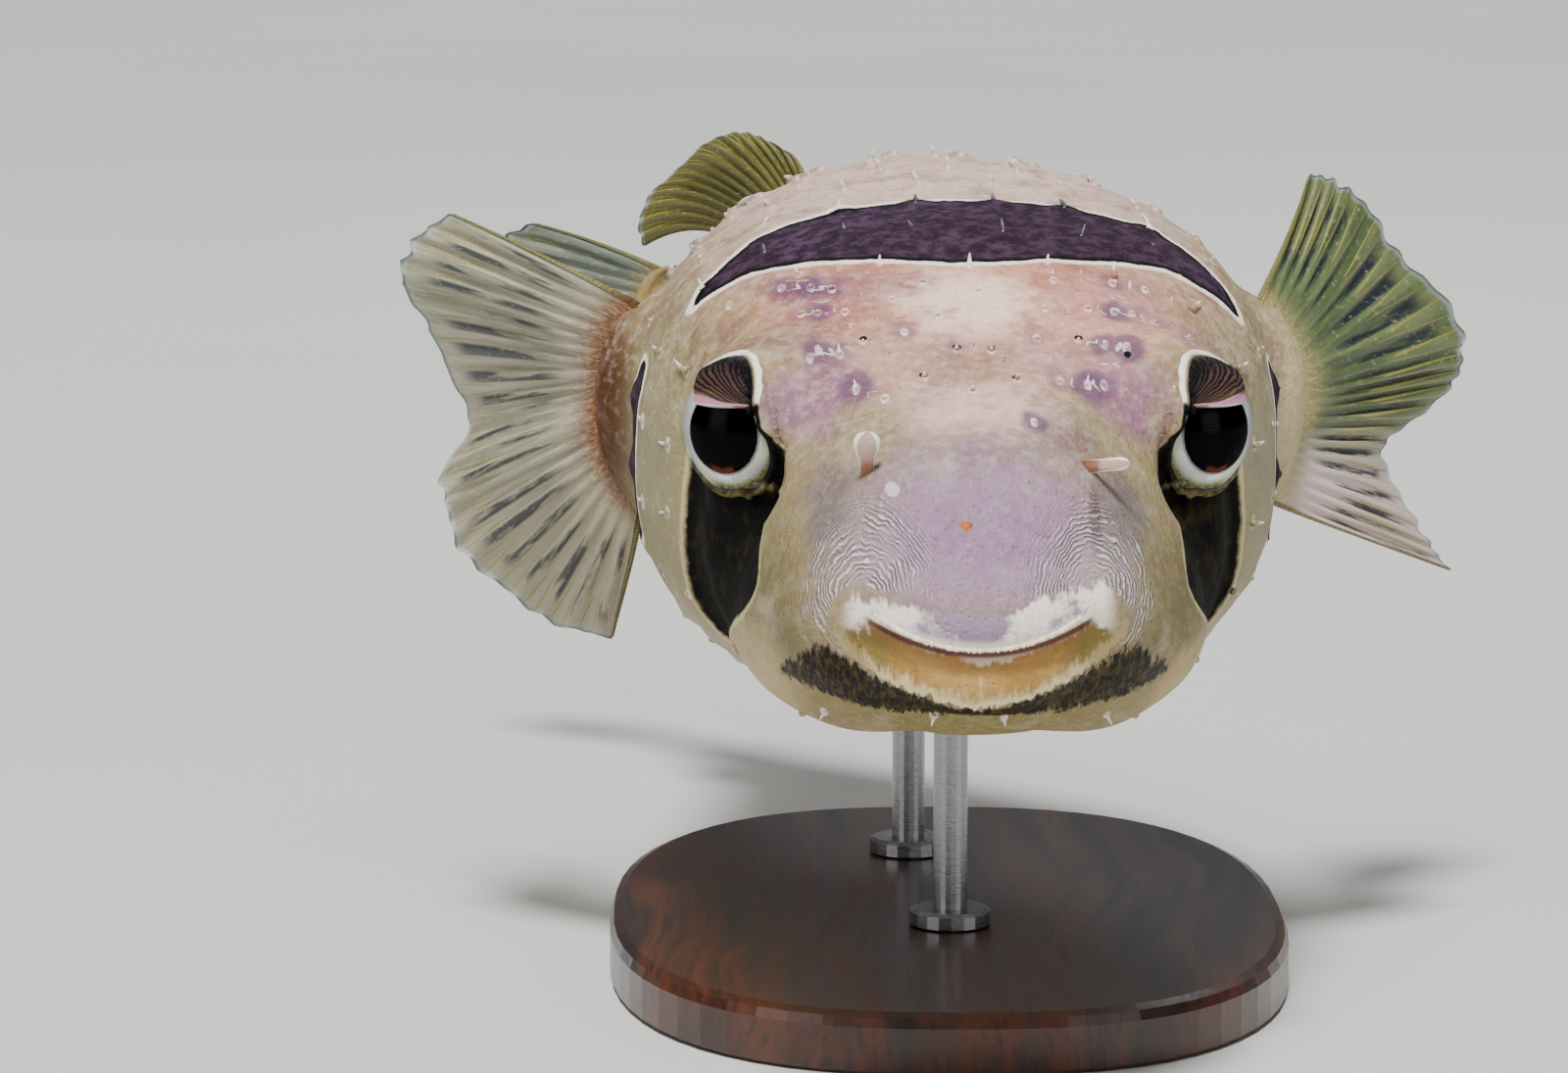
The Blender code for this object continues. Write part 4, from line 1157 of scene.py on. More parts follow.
def veilRows(v):  # the folded membrane down to its hem, and back under it
    begin = v.rim - math.radians(2.4)
    outerEdge = np.exp(-(((v.around - lid["spans"]["veiled"][0] - 4) / 2.6) ** 2))
    keys, widths = np.array(lid["margin"]).T
    band = smoothCurve(keys, widths, v.around)
    buried = eye["ball"] - 0.0005
    for k in range(lid["veilRows"]):
        share = 1 - (1 - k / (lid["veilRows"] - 1)) ** 1.4
        theta = begin * (1 - share) + v.edge * share
        over = corneaFar(theta) + 0.00018 + 0.0005 * np.sin(share * math.pi) ** 1.5
        height = over * np.sin(theta) * np.sin(v.phi)
        beside = over * np.sin(theta) * np.cos(v.phi)
        fan = np.arctan2(height - lid["canthus"][1], beside - lid["canthus"][0])
        wave = 0.5 + 0.5 * np.cos(fan * lid["creases"] + np.sin(fan * 7 + share * 2))
        strength = ease(0.0, 0.15, share) * ease(1.0, 0.85, share)
        radius = over + lid["foldDepth"] * (wave - 0.2) * strength + 0.0003 * ease(0.8, 1.0, share)
        radius = radius * v.veiled + buried * (1 - v.veiled)
        low = lid["opening"] + band
        pink = ease(low + 0.0002, low - 0.0001, height) * ease(152, 138, v.around)
        painted = {"rim": outerEdge * 0.9, "veil": 0.05 + 0.95 * share, "fold": strength, "margin": pink}
        yield lidRow(v, theta, radius, shade=v.gap, **painted)
    pale = 0.5 * ease(0.0011, 0.0006, band - 0.0005) * ease(146, 132, v.around)
    pink = 0.9 * ease(152, 138, v.around)
    for drop, height in lid["hemRows"]:
        theta = v.edge - math.radians(drop)
        radius = (corneaFar(theta) + 0.00048 + height) * v.veiled + (buried - 0.0003) * (1 - v.veiled)
        yield lidRow(v, theta, radius, rim=pale, veil=1.0, margin=pink, shade=v.gap)


def makeLid(side, outline, rows, material):
    p = [eyeCentre(side) + eyeRays(side, outline.phi, theta) * radius[:, None] for theta, radius, _ in rows]
    p = np.concatenate(p)
    faces = gridFaces(len(rows), lid["columns"], closed=True)
    if side < 0:
        faces = [face[::-1] for face in faces]
    piece = makePiece("lid_left" if side > 0 else "lid_right", posed(p), faces, material)
    keepSkinValues(piece, p, fieldNormals(p), nowhere, nowhere, np.zeros(len(p)))
    *values, across, up = np.concatenate([painted for _, _, painted in rows]).T
    keepValues(piece, **dict(zip(lidPaint, values)), fan=np.column_stack([across, up, 0 * up]))
    return piece


# Eyes: a painted ball under a clear cornea

iris = {
    "inner": ((236, 236, 228), (212, 214, 190)),
    "side": (190, 192, 202),
    "olive": (146, 146, 104),
    "shadow": (50, 50, 28),
    "bloom": (200, 196, 208),
    "dots": (40, 44, 24),
    # painted shade where the ball goes under the skin on its inner side
    "socketShade": (60, 50, 26),
    "pupil": (1, 1, 4),
    # painted reflection at the bottom of the pupil
    "paintedReflection": (122, 78, 66),
    "glint": (252, 253, 255),
    "line": (110, 80, 74),
}


def eyeballMaterial():
    material, t = startMaterial("eyeball")
    place = t.read("eyeway", "Vector")  # along the pupil's axis, outwards and up
    ahead, out, up = t.split(place)
    off = ahead.math("ARCCOSINE") + (t.noise(place, 26, 3, 0.6) - 0.5) * 0.03
    past = off - eye["pupil"]  # how far outside the pupil's edge, as an angle
    inward = t.within(out * -0.75 + up * -0.66, 0.1, 0.42)  # towards the lower inner side
    low = t.within(up, -0.4, -0.48)

    ring = Coat(t, t.mix(t.within(past, 0.03, 0.26), *iris["inner"]))
    ring.lay(iris["side"], out, 0.3, 0.75)
    ring.lay(iris["olive"], t.within(past, 0.13, 0.26) * inward)
    ring.lay(iris["shadow"], t.within(past, 0.22, 0.4) * inward)
    ring.lay(iris["bloom"], t.within(t.noise(place, 9), 0.45, 0.65) * 0.35)
    dotted = t.within(t.noise(place, 30, 3, 0.6), 0.57, 0.63) * t.within(past, 0.14, 0.22) * inward
    ring.lay(iris["dots"], dotted * 0.85)
    # painted shade where the ball goes under the skin on its inner side
    ring.lay(iris["socketShade"], t.within(past, 0.44, 0.62) * t.within(out, 0.35, 0.0))

    coat = Coat(t, t.mix(t.within(past, -0.012, 0.012), iris["pupil"], ring.colour))
    # painted reflection: a reddish crescent at the bottom edge of the pupil
    paintedReflection = t.within(past + abs(out) * 0.35, -0.1, -0.05) * t.within(abs(out), 0.2, 0.14) * low
    coat.lay(iris["paintedReflection"], paintedReflection * t.within(past, -0.005, -0.03))
    glint = t.within(abs(past - 0.075), 0.055, 0.035) * t.within(abs(out - 0.02), 0.13, 0.1) * low
    coat.lay(iris["glint"], glint)
    coat.lay(iris["line"], t.within(abs(past - 0.012), 0.02, 0.008) * 0.6)
    setShader(t, {"Base Color": coat.colour, "Roughness": 0.6, "Specular IOR Level": 0.0})
    return material


def corneaMaterial():
    material, t = startMaterial("cornea")
    t.nodes.remove(t.nodes["Principled BSDF"])
    clear = t.add("ShaderNodeBsdfTransparent", {"Color": (0.97, 0.98, 1.0, 1.0)})
    gloss = t.add("ShaderNodeBsdfGlossy", {"Color": (1.0, 1.0, 1.0, 1.0), "Roughness": 0.03})
    sheen = t.add("ShaderNodeFresnel", {"IOR": 1.34}) * 0.22
    both = t.add("ShaderNodeMixShader", {0: sheen, 1: clear, 2: gloss})
    t.connect(t.nodes["Material Output"], {"Surface": both})
    return material


def ballPoints(side, radius, turn, bulge):
    look, outward, up = eyeAxes(side, turn)
    rows, columns = eye["rows"], eye["columns"]
    points = []
    ways = []
    for i in range(rows + 1):
        theta = math.pi * i / rows
        for j in range(columns if 0 < i < rows else 1):  # one point at each pole
            phi = 2 * math.pi * j / columns
            way = (math.cos(theta), math.sin(theta) * math.cos(phi), math.sin(theta) * math.sin(phi))
            ways.append(way)
            far = radius + bulge * max(0.0, math.cos(theta)) ** eye["bulgeFall"]
            points.append(eyeCentre(side) + far * (way[0] * look + way[1] * outward + way[2] * up))
    return np.array(points), np.array(ways)


def makeBall(name, side, radius, turn, material, bulge=0.0):
    points, ways = ballPoints(side, radius, turn, bulge)
    columns = eye["columns"]
    faces = gridFaces(eye["rows"] - 1, columns, closed=True, start=1)
    last = len(points) - 1
    for j in range(columns):
        after = (j + 1) % columns
        faces.append((0, 1 + after, 1 + j))
        faces.append((last, last - columns + j, last - columns + after))
    if side > 0:
        faces = [face[::-1] for face in faces]
    piece = makePiece(name, posed(points), faces, material)
    keepValues(piece, eyeway=ways)
    return piece


# Nostril tentacles: an upright stalk on its right, a flap laid outwards on its left

nostrils = {
    "right": {
        "root": (-0.0148, 0.0165, 0.0200), "way": (-0.0001, -0.0034, 0.0080),
        "width": 0.00120, "flat": 0.40, "tip": 1.55,
    },
    "left": {
        "root": (0.0134, 0.0175, 0.0222), "way": (0.0072, -0.0034, 0.0012),
        "width": 0.0011, "flat": 0.50, "tip": 0.85,
    },
}


flap = {
    "root": ((90, 66, 50), (158, 124, 102)),
    "stalk": (206, 186, 174),
    # painted highlight along the edges of the flaps
    "edge": (252, 249, 246),
}


def tentacleMaterial():
    material, t = startMaterial("tentacle")
    rest = t.read("rest", "Vector")
    share = t.read("share") + (t.noise(rest, 700) - 0.5) * 0.3
    coat = Coat(t, t.mix(t.within(share, 0.0, 0.35), *flap["root"]))
    coat.lay(flap["stalk"], share, 0.38, 0.62)
    # painted highlight along the side edges of each flap's head
    coat.lay(flap["edge"], t.read("edge") + share * 0.5, 1.02, 1.22)
    normal = t.bump(t.noise(rest, 1500), 0.00025, 0.6)
    setShader(t, {"Base Color": coat.colour, "Roughness": 0.34, "Normal": normal, "Coat Weight": 0.3})
    return material


def makeTentacle(name, shape, material):
    rows, columns = 26, 20
    root = np.array(shape["root"])
    axis = np.array(shape["way"])
    forward = axis / np.linalg.norm(axis)
    across = unit(np.cross(forward, (0, -1, 0.2)))
    through = np.cross(across, forward)
    points = []
    shares = []
    edges = []
    for i in range(rows):
        share = i / (rows - 1)
        at = -0.35 + 1.35 * share
        swell = 1.25 - 0.45 * ease(-0.3, 0.35, at) + (shape["tip"] - 0.8) * ease(0.45, 0.8, at)
        rounding = math.sqrt(max(0.0, 1 - max(0.0, (at - 0.8) / 0.2) ** 2))
        droop = 0.0007 * math.sin(at * 3)
        middle = root + axis * at + through * droop
        for j in range(columns):
            turn = 2 * math.pi * j / columns
            notch = 1 - 0.22 * ease(0.7, 1.0, at) * abs(math.sin(turn)) ** 8
            radius = shape["width"] * swell * rounding * notch
            way = math.cos(turn) * across + shape["flat"] * math.sin(turn) * through
            points.append(middle + radius * way)
            shares.append(max(0.0, at))
            edges.append(abs(math.cos(turn)))
    faces = gridFaces(rows, columns, closed=True)
    faces.append(tuple(range((rows - 1) * columns, rows * columns)))
    faces.append(tuple(reversed(range(columns))))
    points = np.array(points)
    piece = makePiece(name, posed(points), faces, material)
    keepValues(piece, rest=points, share=np.array(shares), edge=np.array(edges))
    return piece


# Geometry Nodes: how a tree is begun, ended and turned into a plain mesh

def startNodes(name, **inputs):
    group = bpy.data.node_groups.new(name, "GeometryNodeTree")
    for label, kind in {"Geometry": "Geometry", **inputs, "material": "Material"}.items():
        group.interface.new_socket(label, in_out="INPUT", socket_type="NodeSocket" + kind)
    group.interface.new_socket("Geometry", in_out="OUTPUT", socket_type="NodeSocketGeometry")
    t = Tree(group)
    entry = group.nodes.new("NodeGroupInput")
    return group, t, {socket.name: Wire(t, socket) for socket in entry.outputs}


def endNodes(t, entry, geometry):
    solid = t.add("GeometryNodeRealizeInstances", {"Geometry": geometry})
    solid = t.add("GeometryNodeSetMaterial", {"Geometry": solid, "Material": entry["material"]})
    t.connect(t.nodes.new("NodeGroupOutput"), {"Geometry": solid})


def applyNodes(piece, group, values):  # the plain mesh that the nodes make of a piece
    modifier = piece.modifiers.new(group.name, "NODES")
    modifier.node_group = group
    for item in group.interface.items_tree:
        if item.in_out == "INPUT" and item.name in values:
            modifier[item.identifier] = values[item.name]
    graph = bpy.context.evaluated_depsgraph_get()
    shown = piece.evaluated_get(graph)
    made = bpy.data.meshes.new_from_object(shown, preserve_all_data_layers=True, depsgraph=graph)
    piece.modifiers.remove(modifier)
    piece.data = made
    made.shade_smooth()
    return piece


def readField(t, name, kind="FLOAT"):
    return t.add("GeometryNodeInputNamedAttribute", {"Name": name}, data_type=kind)


def keepField(t, geometry, name, value, kind="FLOAT", domain="POINT"):
    values = {"Geometry": geometry, "Name": name, "Value": value}
    return t.add("GeometryNodeStoreNamedAttribute", values, data_type=kind, domain=domain)


def unevenBy(t, share, seed):  # a random size about 1 for each instance
    values = {2: 1 - share, 3: 1 + share, "Seed": seed}
    return t.add("FunctionNodeRandomValue", values, 1, data_type="FLOAT")


def plant(t, entry, item, turn, size, inPatch):  # an item on every point, with a patch of the bake for each
    values = {"Points": entry["Geometry"], "Instance": item, "Rotation": turn, "Scale": size}
    many = t.add("GeometryNodeInstanceOnPoints", values)
    many = t.add("GeometryNodeRealizeInstances", {"Geometry": many})
    inPatch = t.vector("SCALE", inPatch, entry["patch"])
    place = t.vector("ADD", readField(t, "rootUnwrap", "FLOAT_VECTOR"), inPatch)
    endNodes(t, entry, keepField(t, many, "OFBake", place, "FLOAT2", "CORNER"))


# Fins: a pleated web with scalloped edge, and branched rays swept along it by Geometry Nodes

fins = {
    "pectoral_right": {
        "side": -1, "first": (0.0455, 0.106, 0.0335), "last": (0.0465, 0.108, 0.005),
        "bulge": (0.0055, 0.003, 0.0), "bow": (0.0, -0.003, 0.0005),
        "rayCount": 21, "pleat": 0.0005, "scallop": 0.03,
        "rays": ((20, 45, 0.048), (12, 47, 0.054), (1, 55, 0.051), (-22, 57, 0.045),
                 (-26, 40, 0.04), (-38, 34, 0.038), (-58, 32, 0.033), (-79, 28, 0.027)),
        "root": (112, 80, 56), "rootSpeckle": (152, 114, 86),
        "rootReach": 0.17, "lobe": (180, 174, 158), "streaked": 0.9,
        "web": ((154, 152, 138), (194, 190, 176)), "replaces": "fin_pectoral_right",
    },
    "pectoral_left": {
        "side": 1, "first": (0.0455, 0.106, 0.0335), "last": (0.0465, 0.108, 0.005),
        "bulge": (0.0055, 0.003, 0.0), "bow": (0.0, -0.0025, 0.0),
        "rayCount": 21, "pleat": 0.0004, "scallop": 0.012,
        "rays": ((56, 61, 0.041), (50, 57, 0.046), (29, 57, 0.049), (4, 54, 0.056),
                 (-3, 55, 0.05), (-13, 52, 0.029), (-24, 38, 0.035), (-25, 36, 0.047)),
        "root": (206, 196, 160), "rootSpeckle": (180, 168, 132),
        "rootReach": 0.14, "lobe": (228, 214, 212), "streaked": 0.95,
        "web": ((102, 114, 90), (138, 145, 116)), "replaces": "fin_pectoral_left",
    },
    "dorsal": {
        "side": -1, "first": (0.0, 0.205, 0.0385), "last": (0.0, 0.231, 0.0305),
        "bulge": (0.0, 0.0, 0.0015), "bow": (0.001, 0.0, 0.003),
        "rayCount": 14, "pleat": 0.0004, "scallop": 0.015,
        "rays": ((100, 68, 0.027), (84, 70, 0.031), (49, 71, 0.033), (22, 70, 0.032), (-8, 70, 0.027)),
        "root": (116, 106, 74), "rootSpeckle": (146, 132, 96),
        "rootReach": 0.2, "lobe": (128, 124, 90), "streaked": 0.25,
        "web": ((100, 98, 66), (128, 124, 88)), "replaces": "fin_dorsal",
    },
    "anal": {
        "side": -1, "first": (0.0, 0.208, -0.0055), "last": (0.0, 0.231, 0.0),
        "bulge": (0.0, 0.0, -0.002), "bow": (0.001, 0.0, -0.0025),
        "rayCount": 13, "pleat": 0.0004, "scallop": 0.015,
        "rays": ((-93, 53, 0.029), (-84, 57, 0.033), (-67, 63, 0.034), (-47, 67, 0.03), (-16, 72, 0.023)),
        "root": (176, 160, 112), "rootSpeckle": (196, 180, 140),
        "rootReach": 0.25, "lobe": (160, 152, 116), "streaked": 0.3,
        "web": ((112, 110, 78), (150, 146, 110)), "replaces": "fin_anal",
    },
    "caudal": {
        "side": -1, "first": (0.0, 0.26, 0.0225), "last": (0.0, 0.26, 0.009),
        "bulge": (0.0, 0.0014, 0.0), "bow": (-0.002, 0.0, 0.0),
        "rayCount": 10, "pleat": 0.0005, "scallop": 0.02,
        "rays": ((36, 70, 0.036), (18, 71, 0.047), (0, 71, 0.05), (-18, 71, 0.047), (-36, 70, 0.036)),
        "root": (150, 136, 94), "rootSpeckle": (170, 156, 116),
        "rootReach": 0.2, "lobe": (142, 147, 140), "streaked": 0.3,
        "web": ((114, 120, 108), (154, 159, 152)), "replaces": "fin_caudal",
    },
}

finBuild = {
    "rootThickness": 0.0016,
    "edgeThickness": 0.00042,
    "perRay": 6,  # columns of the web between two rays
    "rows": 34,
    "raySteps": 30,
    "rayReach": 0.985,  # a ray's end, as a share of the way to the edge
    "branching": (0.03, 0.21),  # how far apart its two branches start, and how much more they part
    "rayShape": {"rootRadius": 0.00062, "endRadius": 0.00024, "sides": 6},
    "ripple": 0.0012,
}


def finPlace(fin, share, out):  # share from the first ray to the last, out from root to edge
    keys = np.linspace(0, 1, len(fin["rays"]))
    rays = smoothCurve(keys, fin["rays"], share)
    up, back = np.radians(rays[..., 0]), np.radians(rays[..., 1])
    way = np.stack([np.cos(up) * np.cos(back), np.sin(back), np.sin(up) * np.cos(back)], -1)
    count = fin["rayCount"]
    scallop = 1 - fin["scallop"] * np.abs(np.sin(math.pi * count * share)) ** 1.5
    scallop = scallop * (1 + 0.012 * np.sin(share * 37) + 0.008 * np.sin(share * 91))
    share = share[..., None]
    root = np.array(fin["first"]) * (1 - share) + np.array(fin["last"]) * share
    root = root + np.array(fin["bulge"]) * 4 * share * (1 - share)
    far = (out * (1 - (1 - scallop) * ease(0.5, 1.0, out)))[..., None]
    place = root + way * rays[..., 2:] * far + np.array(fin["bow"]) * 4 * far * (1 - far)
    return posed(place * (fin["side"], 1, 1), root[..., 1])


def finSpot(fin, share, out):  # the same, pleated, with the way across the fin
    small = 0.004
    acrossWay = finPlace(fin, share + small, out) - finPlace(fin, share - small, out)
    outWay = finPlace(fin, share, out + small) - finPlace(fin, share, out - small)
    facing = unit(np.cross(acrossWay, outWay))
    pleat = fin["pleat"] * ease(0.0, 0.5, out) * (1 - 0.5 * ease(0.7, 1.0, out))
    ripple = finBuild["ripple"] * np.sin(share * 9 + out * 2.5) * out**2
    wave = np.cos(2 * math.pi * fin["rayCount"] * share) * pleat + ripple
    return finPlace(fin, share, out) + facing * wave[..., None], facing


finShades = {
    "streak": (52, 62, 70),
    "ray": ((208, 200, 154), (176, 170, 112)),
    "joint": (96, 84, 50),
    "edge": (178, 190, 190),
    "fleck": (222, 216, 190),
}


def finMaterial(name, fin):
    material, t = startMaterial(name)
    place = t.read("finplace", "Vector")  # ray number, share from root to edge, and 1 on a ray
    ray, out, onRay = t.split(place)
    patchy = t.noise(place, (1.6, 2.0, 0.0), 3, 0.6)
    speckle = t.noise(place, (5.0, 26.0, 0.0), 3, 0.6)
    coat = Coat(t, t.mix(t.within(patchy, 0.35, 0.66), *fin["web"]))
    coat.lay(fin["lobe"], ray / fin["rayCount"], 0.58, 0.88, 0.75)
    between = t.within((ray * 2 * math.pi).math("COSINE"), 0.25, -0.55)
    reach = t.within(out, 0.2, 0.42) * t.within(out, 0.96, 0.8) * t.within(patchy, 0.42, 0.56)
    coat.lay(finShades["streak"], between * reach * fin["streaked"])
    rayTint = t.mix(t.within(out, 0.2, 0.9), *finShades["ray"])
    coat.lay(rayTint, onRay, 0.3, 0.7, 0.62)
    joints = (out * 260 + patchy * 3).math("SINE")
    coat.lay(finShades["joint"], t.within(joints, 0.4, 0.9, 0.0, 0.22) * onRay)
    rootTint = t.mix(t.within(speckle, 0.4, 0.6), fin["root"], fin["rootSpeckle"])
    coat.lay(rootTint, out + (speckle - 0.5) * 0.14, fin["rootReach"] + 0.1, fin["rootReach"] - 0.14)
    coat.lay(finShades["edge"], t.within(out + (patchy - 0.5) * 0.06, 0.95, 0.99) * 0.55)
    coat.lay(finShades["fleck"], speckle, 0.55, 0.75, 0.3)
    normal = t.bump(speckle * 0.4 + t.within(joints, 0.3, 0.9) * onRay * 0.5, 0.0003, 0.7)
    roughness = t.within(speckle, 0.3, 0.7, 0.36, 0.5)
    values = {"Base Color": coat.colour, "Roughness": roughness, "Normal": normal}
    setShader(t, values | {"Specular IOR Level": 0.3})
    return material


def finTree():
    group, t, entry = startNodes("fin_rays", rootRadius="Float", endRadius="Float", sides="Int")
    isRay = readField(t, "isRay", "BOOLEAN")
    split = {"Geometry": entry["Geometry"], "Selection": isRay}
    rays = t.add("GeometryNodeSeparateGeometry", split, domain="POINT")
    web = t.other(rays, 1)
    curve = t.add("GeometryNodeMeshToCurve", {"Mesh": rays})
    along = t.add("GeometryNodeSplineParameter")
    radius = entry["rootRadius"] + (entry["endRadius"] - entry["rootRadius"]) * along
    ring = t.add("GeometryNodeCurvePrimitiveCircle", {"Resolution": entry["sides"], "Radius": 1.0})
    swept = {"Curve": curve, "Profile Curve": ring, "Scale": radius, "Fill Caps": True}
    joined = t.add("GeometryNodeJoinGeometry", {"Geometry": t.add("GeometryNodeCurveToMesh", swept)})
    t.connect(joined.socket.node, {"Geometry": web})
    endNodes(t, entry, joined)
    return group


def finWeb(fin):  # a closed sheet: its points, their places in the fin, and its faces
    columns = fin["rayCount"] * finBuild["perRay"] + 1
    rows = finBuild["rows"]
    share, out = np.meshgrid(np.linspace(0, 1, columns), np.linspace(0, 1, rows), indexing="ij")
    middle, facing = finSpot(fin, share, out)
    half = (finBuild["rootThickness"] * (1 - out) ** 1.5 + finBuild["edgeThickness"]) / 2
    sides = (middle + facing * half[..., None], middle - facing * half[..., None])
    faces = gridFaces(columns, rows)
    other = columns * rows
    faces += [tuple(k + other for k in reversed(face)) for face in faces]
    rim = [i * rows for i in range(columns)]
    rim += [(columns - 1) * rows + j for j in range(1, rows)]
    rim += [i * rows + rows - 1 for i in range(columns - 2, -1, -1)]
    rim += list(range(rows - 2, 0, -1))
    for a, b in zip(rim, rim[1:] + rim[:1]):
        faces.append((b, a, a + other, b + other))
    if fin["side"] > 0:
        faces = [face[::-1] for face in faces]
    places = np.stack([share * fin["rayCount"], out, out * 0], -1)
    return [side.reshape(-1, 3) for side in sides], [places.reshape(-1, 3)] * 2, faces


def makeFin(name, fin, group):
    points, places, faces = finWeb(fin)
    edges = []
    count = fin["rayCount"]
    steps = np.linspace(0.0, finBuild["rayReach"], finBuild["raySteps"])
    together, apart = finBuild["branching"]
    for ray in range(count + 1):
        for branch in (-1, 1):
            spread = branch * (together + apart * ease(0.4, 1.0, steps)) / count
            if ray in (0, count):
                spread = spread * 0
            at = np.clip(ray / count + spread, 0, 1)
            used = sum(map(len, points))
            points.append(finSpot(fin, at, steps)[0])
            places.append(np.stack([at * count, steps, steps * 0 + 1], -1))
            edges.extend((used + k, used + k + 1) for k in range(len(steps) - 1))
    material = finMaterial(name + "_skin", fin)
    piece = makePiece("fin_" + name + "_web", np.concatenate(points), faces, material, edges)
    places = np.concatenate(places)
    keepValues(piece, finplace=places)
    mark = piece.data.attributes.new("isRay", "BOOLEAN", "POINT")
    mark.data.foreach_set("value", places[:, 2] > 0.5)
    return applyNodes(piece, group, finBuild["rayShape"] | {"material": material})


# Spines: one small curved shape set on every root by Geometry Nodes

spineShape = {"rings": 7, "sides": 8, "bend": 0.8, "sunk": 0.12, "patch": 0.003, "seed": 5}


def spineMaterial():
    material, t = startMaterial("spine")
    f = skinFields(t)
    coat = Coat(t, skinColour(t, f))
    along = t.read("alongSpine")
    horn = t.mix(t.within(along, 0.1, 0.6), (236, 226, 216), (252, 248, 244))
    dark = t.within(t.read("edged"), 0.0004, -0.0006)
    bare = t.within(along + t.within(f.y, 0.07, 0.05) * 0.3, 0.2, 0.5)
    coat.lay(horn, bare * (1 - dark * 0.9))
    setShader(t, {"Base Color": coat.colour, "Roughness": 0.4, "Coat Weight": 0.1})
    return material


def spineTree():
    whole = dict.fromkeys(("rings", "sides", "seed"), "Int")
    group, t, entry = startNodes("spines", **whole, bend="Float", sunk="Float", patch="Float")
    sizes = {"Vertices": entry["sides"], "Side Segments": entry["rings"], "Radius": 1.0, "Depth": 1.0}
    tube = t.add("GeometryNodeMeshCylinder", sizes, fill_type="NGON")
    x, y, z = t.split(t.add("GeometryNodeInputPosition"))
    tube = keepField(t, tube, "alongSpine", z + 0.5)
    tube = keepField(t, tube, "aroundSpine", y.math("ARCTAN2", x) / (2 * math.pi) + 0.5)
    along = readField(t, "alongSpine")
    taper = (1 - along) ** 0.7 * 0.94 + 0.06 + (1 - along) ** 6 * 0.6
    arch = entry["bend"] * along * (1 - along) * 4
    shaped = t.join(x * taper + arch, y * taper, along * (entry["sunk"] + 1) - entry["sunk"])
    spine = t.add("GeometryNodeSetPosition", {"Geometry": tube, "Position": shaped})
    ways = [readField(t, name, "FLOAT_VECTOR") for name in ("way", "facing")]
    axes = {"Primary Axis": ways[0], "Secondary Axis": ways[1]}
    turn = t.add("FunctionNodeAxesToRotation", axes, primary_axis="Z", secondary_axis="X")
    wide = readField(t, "wide")
    size = t.join(wide, wide, readField(t, "long") * unevenBy(t, 0.12, entry["seed"]))
    inPatch = t.join(readField(t, "aroundSpine"), readField(t, "alongSpine"))
    plant(t, entry, spine, turn, size, inPatch)
    return group


def unwrapped(roots):  # each root's place on the skin rolled out flat: round the body, and back along it
    centreHeight = smoothCurve(skin["centreStation"], skin["centreHeight"], roots[:, 1])
    around = np.arctan2(roots[:, 0], roots[:, 2] - centreHeight) / (2 * math.pi) + 0.5
    return np.stack([around, roots[:, 1] / pose["bodyLength"], around * 0], -1)


def makeSpines(roots, details):
    normals, _, way, length, width = spineLay(roots, details)
    base = posed(roots)
    ahead = unit(posed(roots + way * length[:, None]) - base)
    facing = unit(posed(roots + normals * 0.001) - base)
    material = spineMaterial()
    piece = makePiece("spines", base, [], material)
    keepSkinValues(piece, roots, normals, nowhere, nowhere, np.zeros(len(roots)))
    keepValues(piece, way=ahead, facing=facing, long=length, wide=width, rootUnwrap=unwrapped(roots))
    return applyNodes(piece, spineTree(), spineShape | {"material": material})


# Papillae: the soft fringe along the edge of the upper lip

fringe = {
    "count": 96,
    "half": 0.015,
    "above": 0.0007,
    "shift": 0.00008,
    "wide": 0.00022,
    "long": 0.0005,
    "patch": 0.0015,
    "seed": 3,
}


def fringeTree():
    group, t, entry = startNodes("lip_fringe", wide="Float", long="Float", patch="Float", seed="Int")
    bead = t.add("GeometryNodeMeshUVSphere", {"Segments": 8, "Rings": 6, "Radius": 1.0})
    bead = keepField(t, bead, "inBead", t.add("GeometryNodeInputPosition"), "FLOAT_VECTOR")
    way = readField(t, "way", "FLOAT_VECTOR")
    turn = t.add("FunctionNodeAlignRotationToVector", {"Vector": way}, axis="Z")
    uneven = unevenBy(t, 0.25, entry["seed"])
    wide = entry["wide"] * uneven
    x, _, z = t.split(readField(t, "inBead", "FLOAT_VECTOR"))
    plant(t, entry, bead, turn, t.join(wide, wide, entry["long"] * uneven), t.join(x, z))
    return group


def fringeMaterial():
    material, t = startMaterial("lip_fringe")
    place = t.read("rest", "Vector")
    colour = t.mix(t.within(t.noise(place, 900, 2), 0.4, 0.6), (238, 220, 200), (250, 244, 236))
    setShader(t, {"Base Color": colour, "Roughness": 0.35, "Coat Weight": 0.3})
    return material


def makeFringe():
    x = np.linspace(-fringe["half"], fringe["half"], fringe["count"])
    x = x + fringe["shift"] * np.sin(x * 21000)
    target = np.column_stack([x, 0 * x, slitHeight(x) + fringe["above"]])
    origin = np.tile(centreAt(skin["firstRing"]), (len(x), 1))
    spots = castOut(origin, unit(target - origin))
    way = unit(fieldNormals(spots) * 0.75 + np.array([0, -0.1, -0.8]))
    material = fringeMaterial()
    piece = makePiece("lip_fringe", posed(spots), [], material)
    keepValues(piece, rest=spots, way=way, rootUnwrap=unwrapped(spots))
    return applyNodes(piece, fringeTree(), fringe | {"material": material})


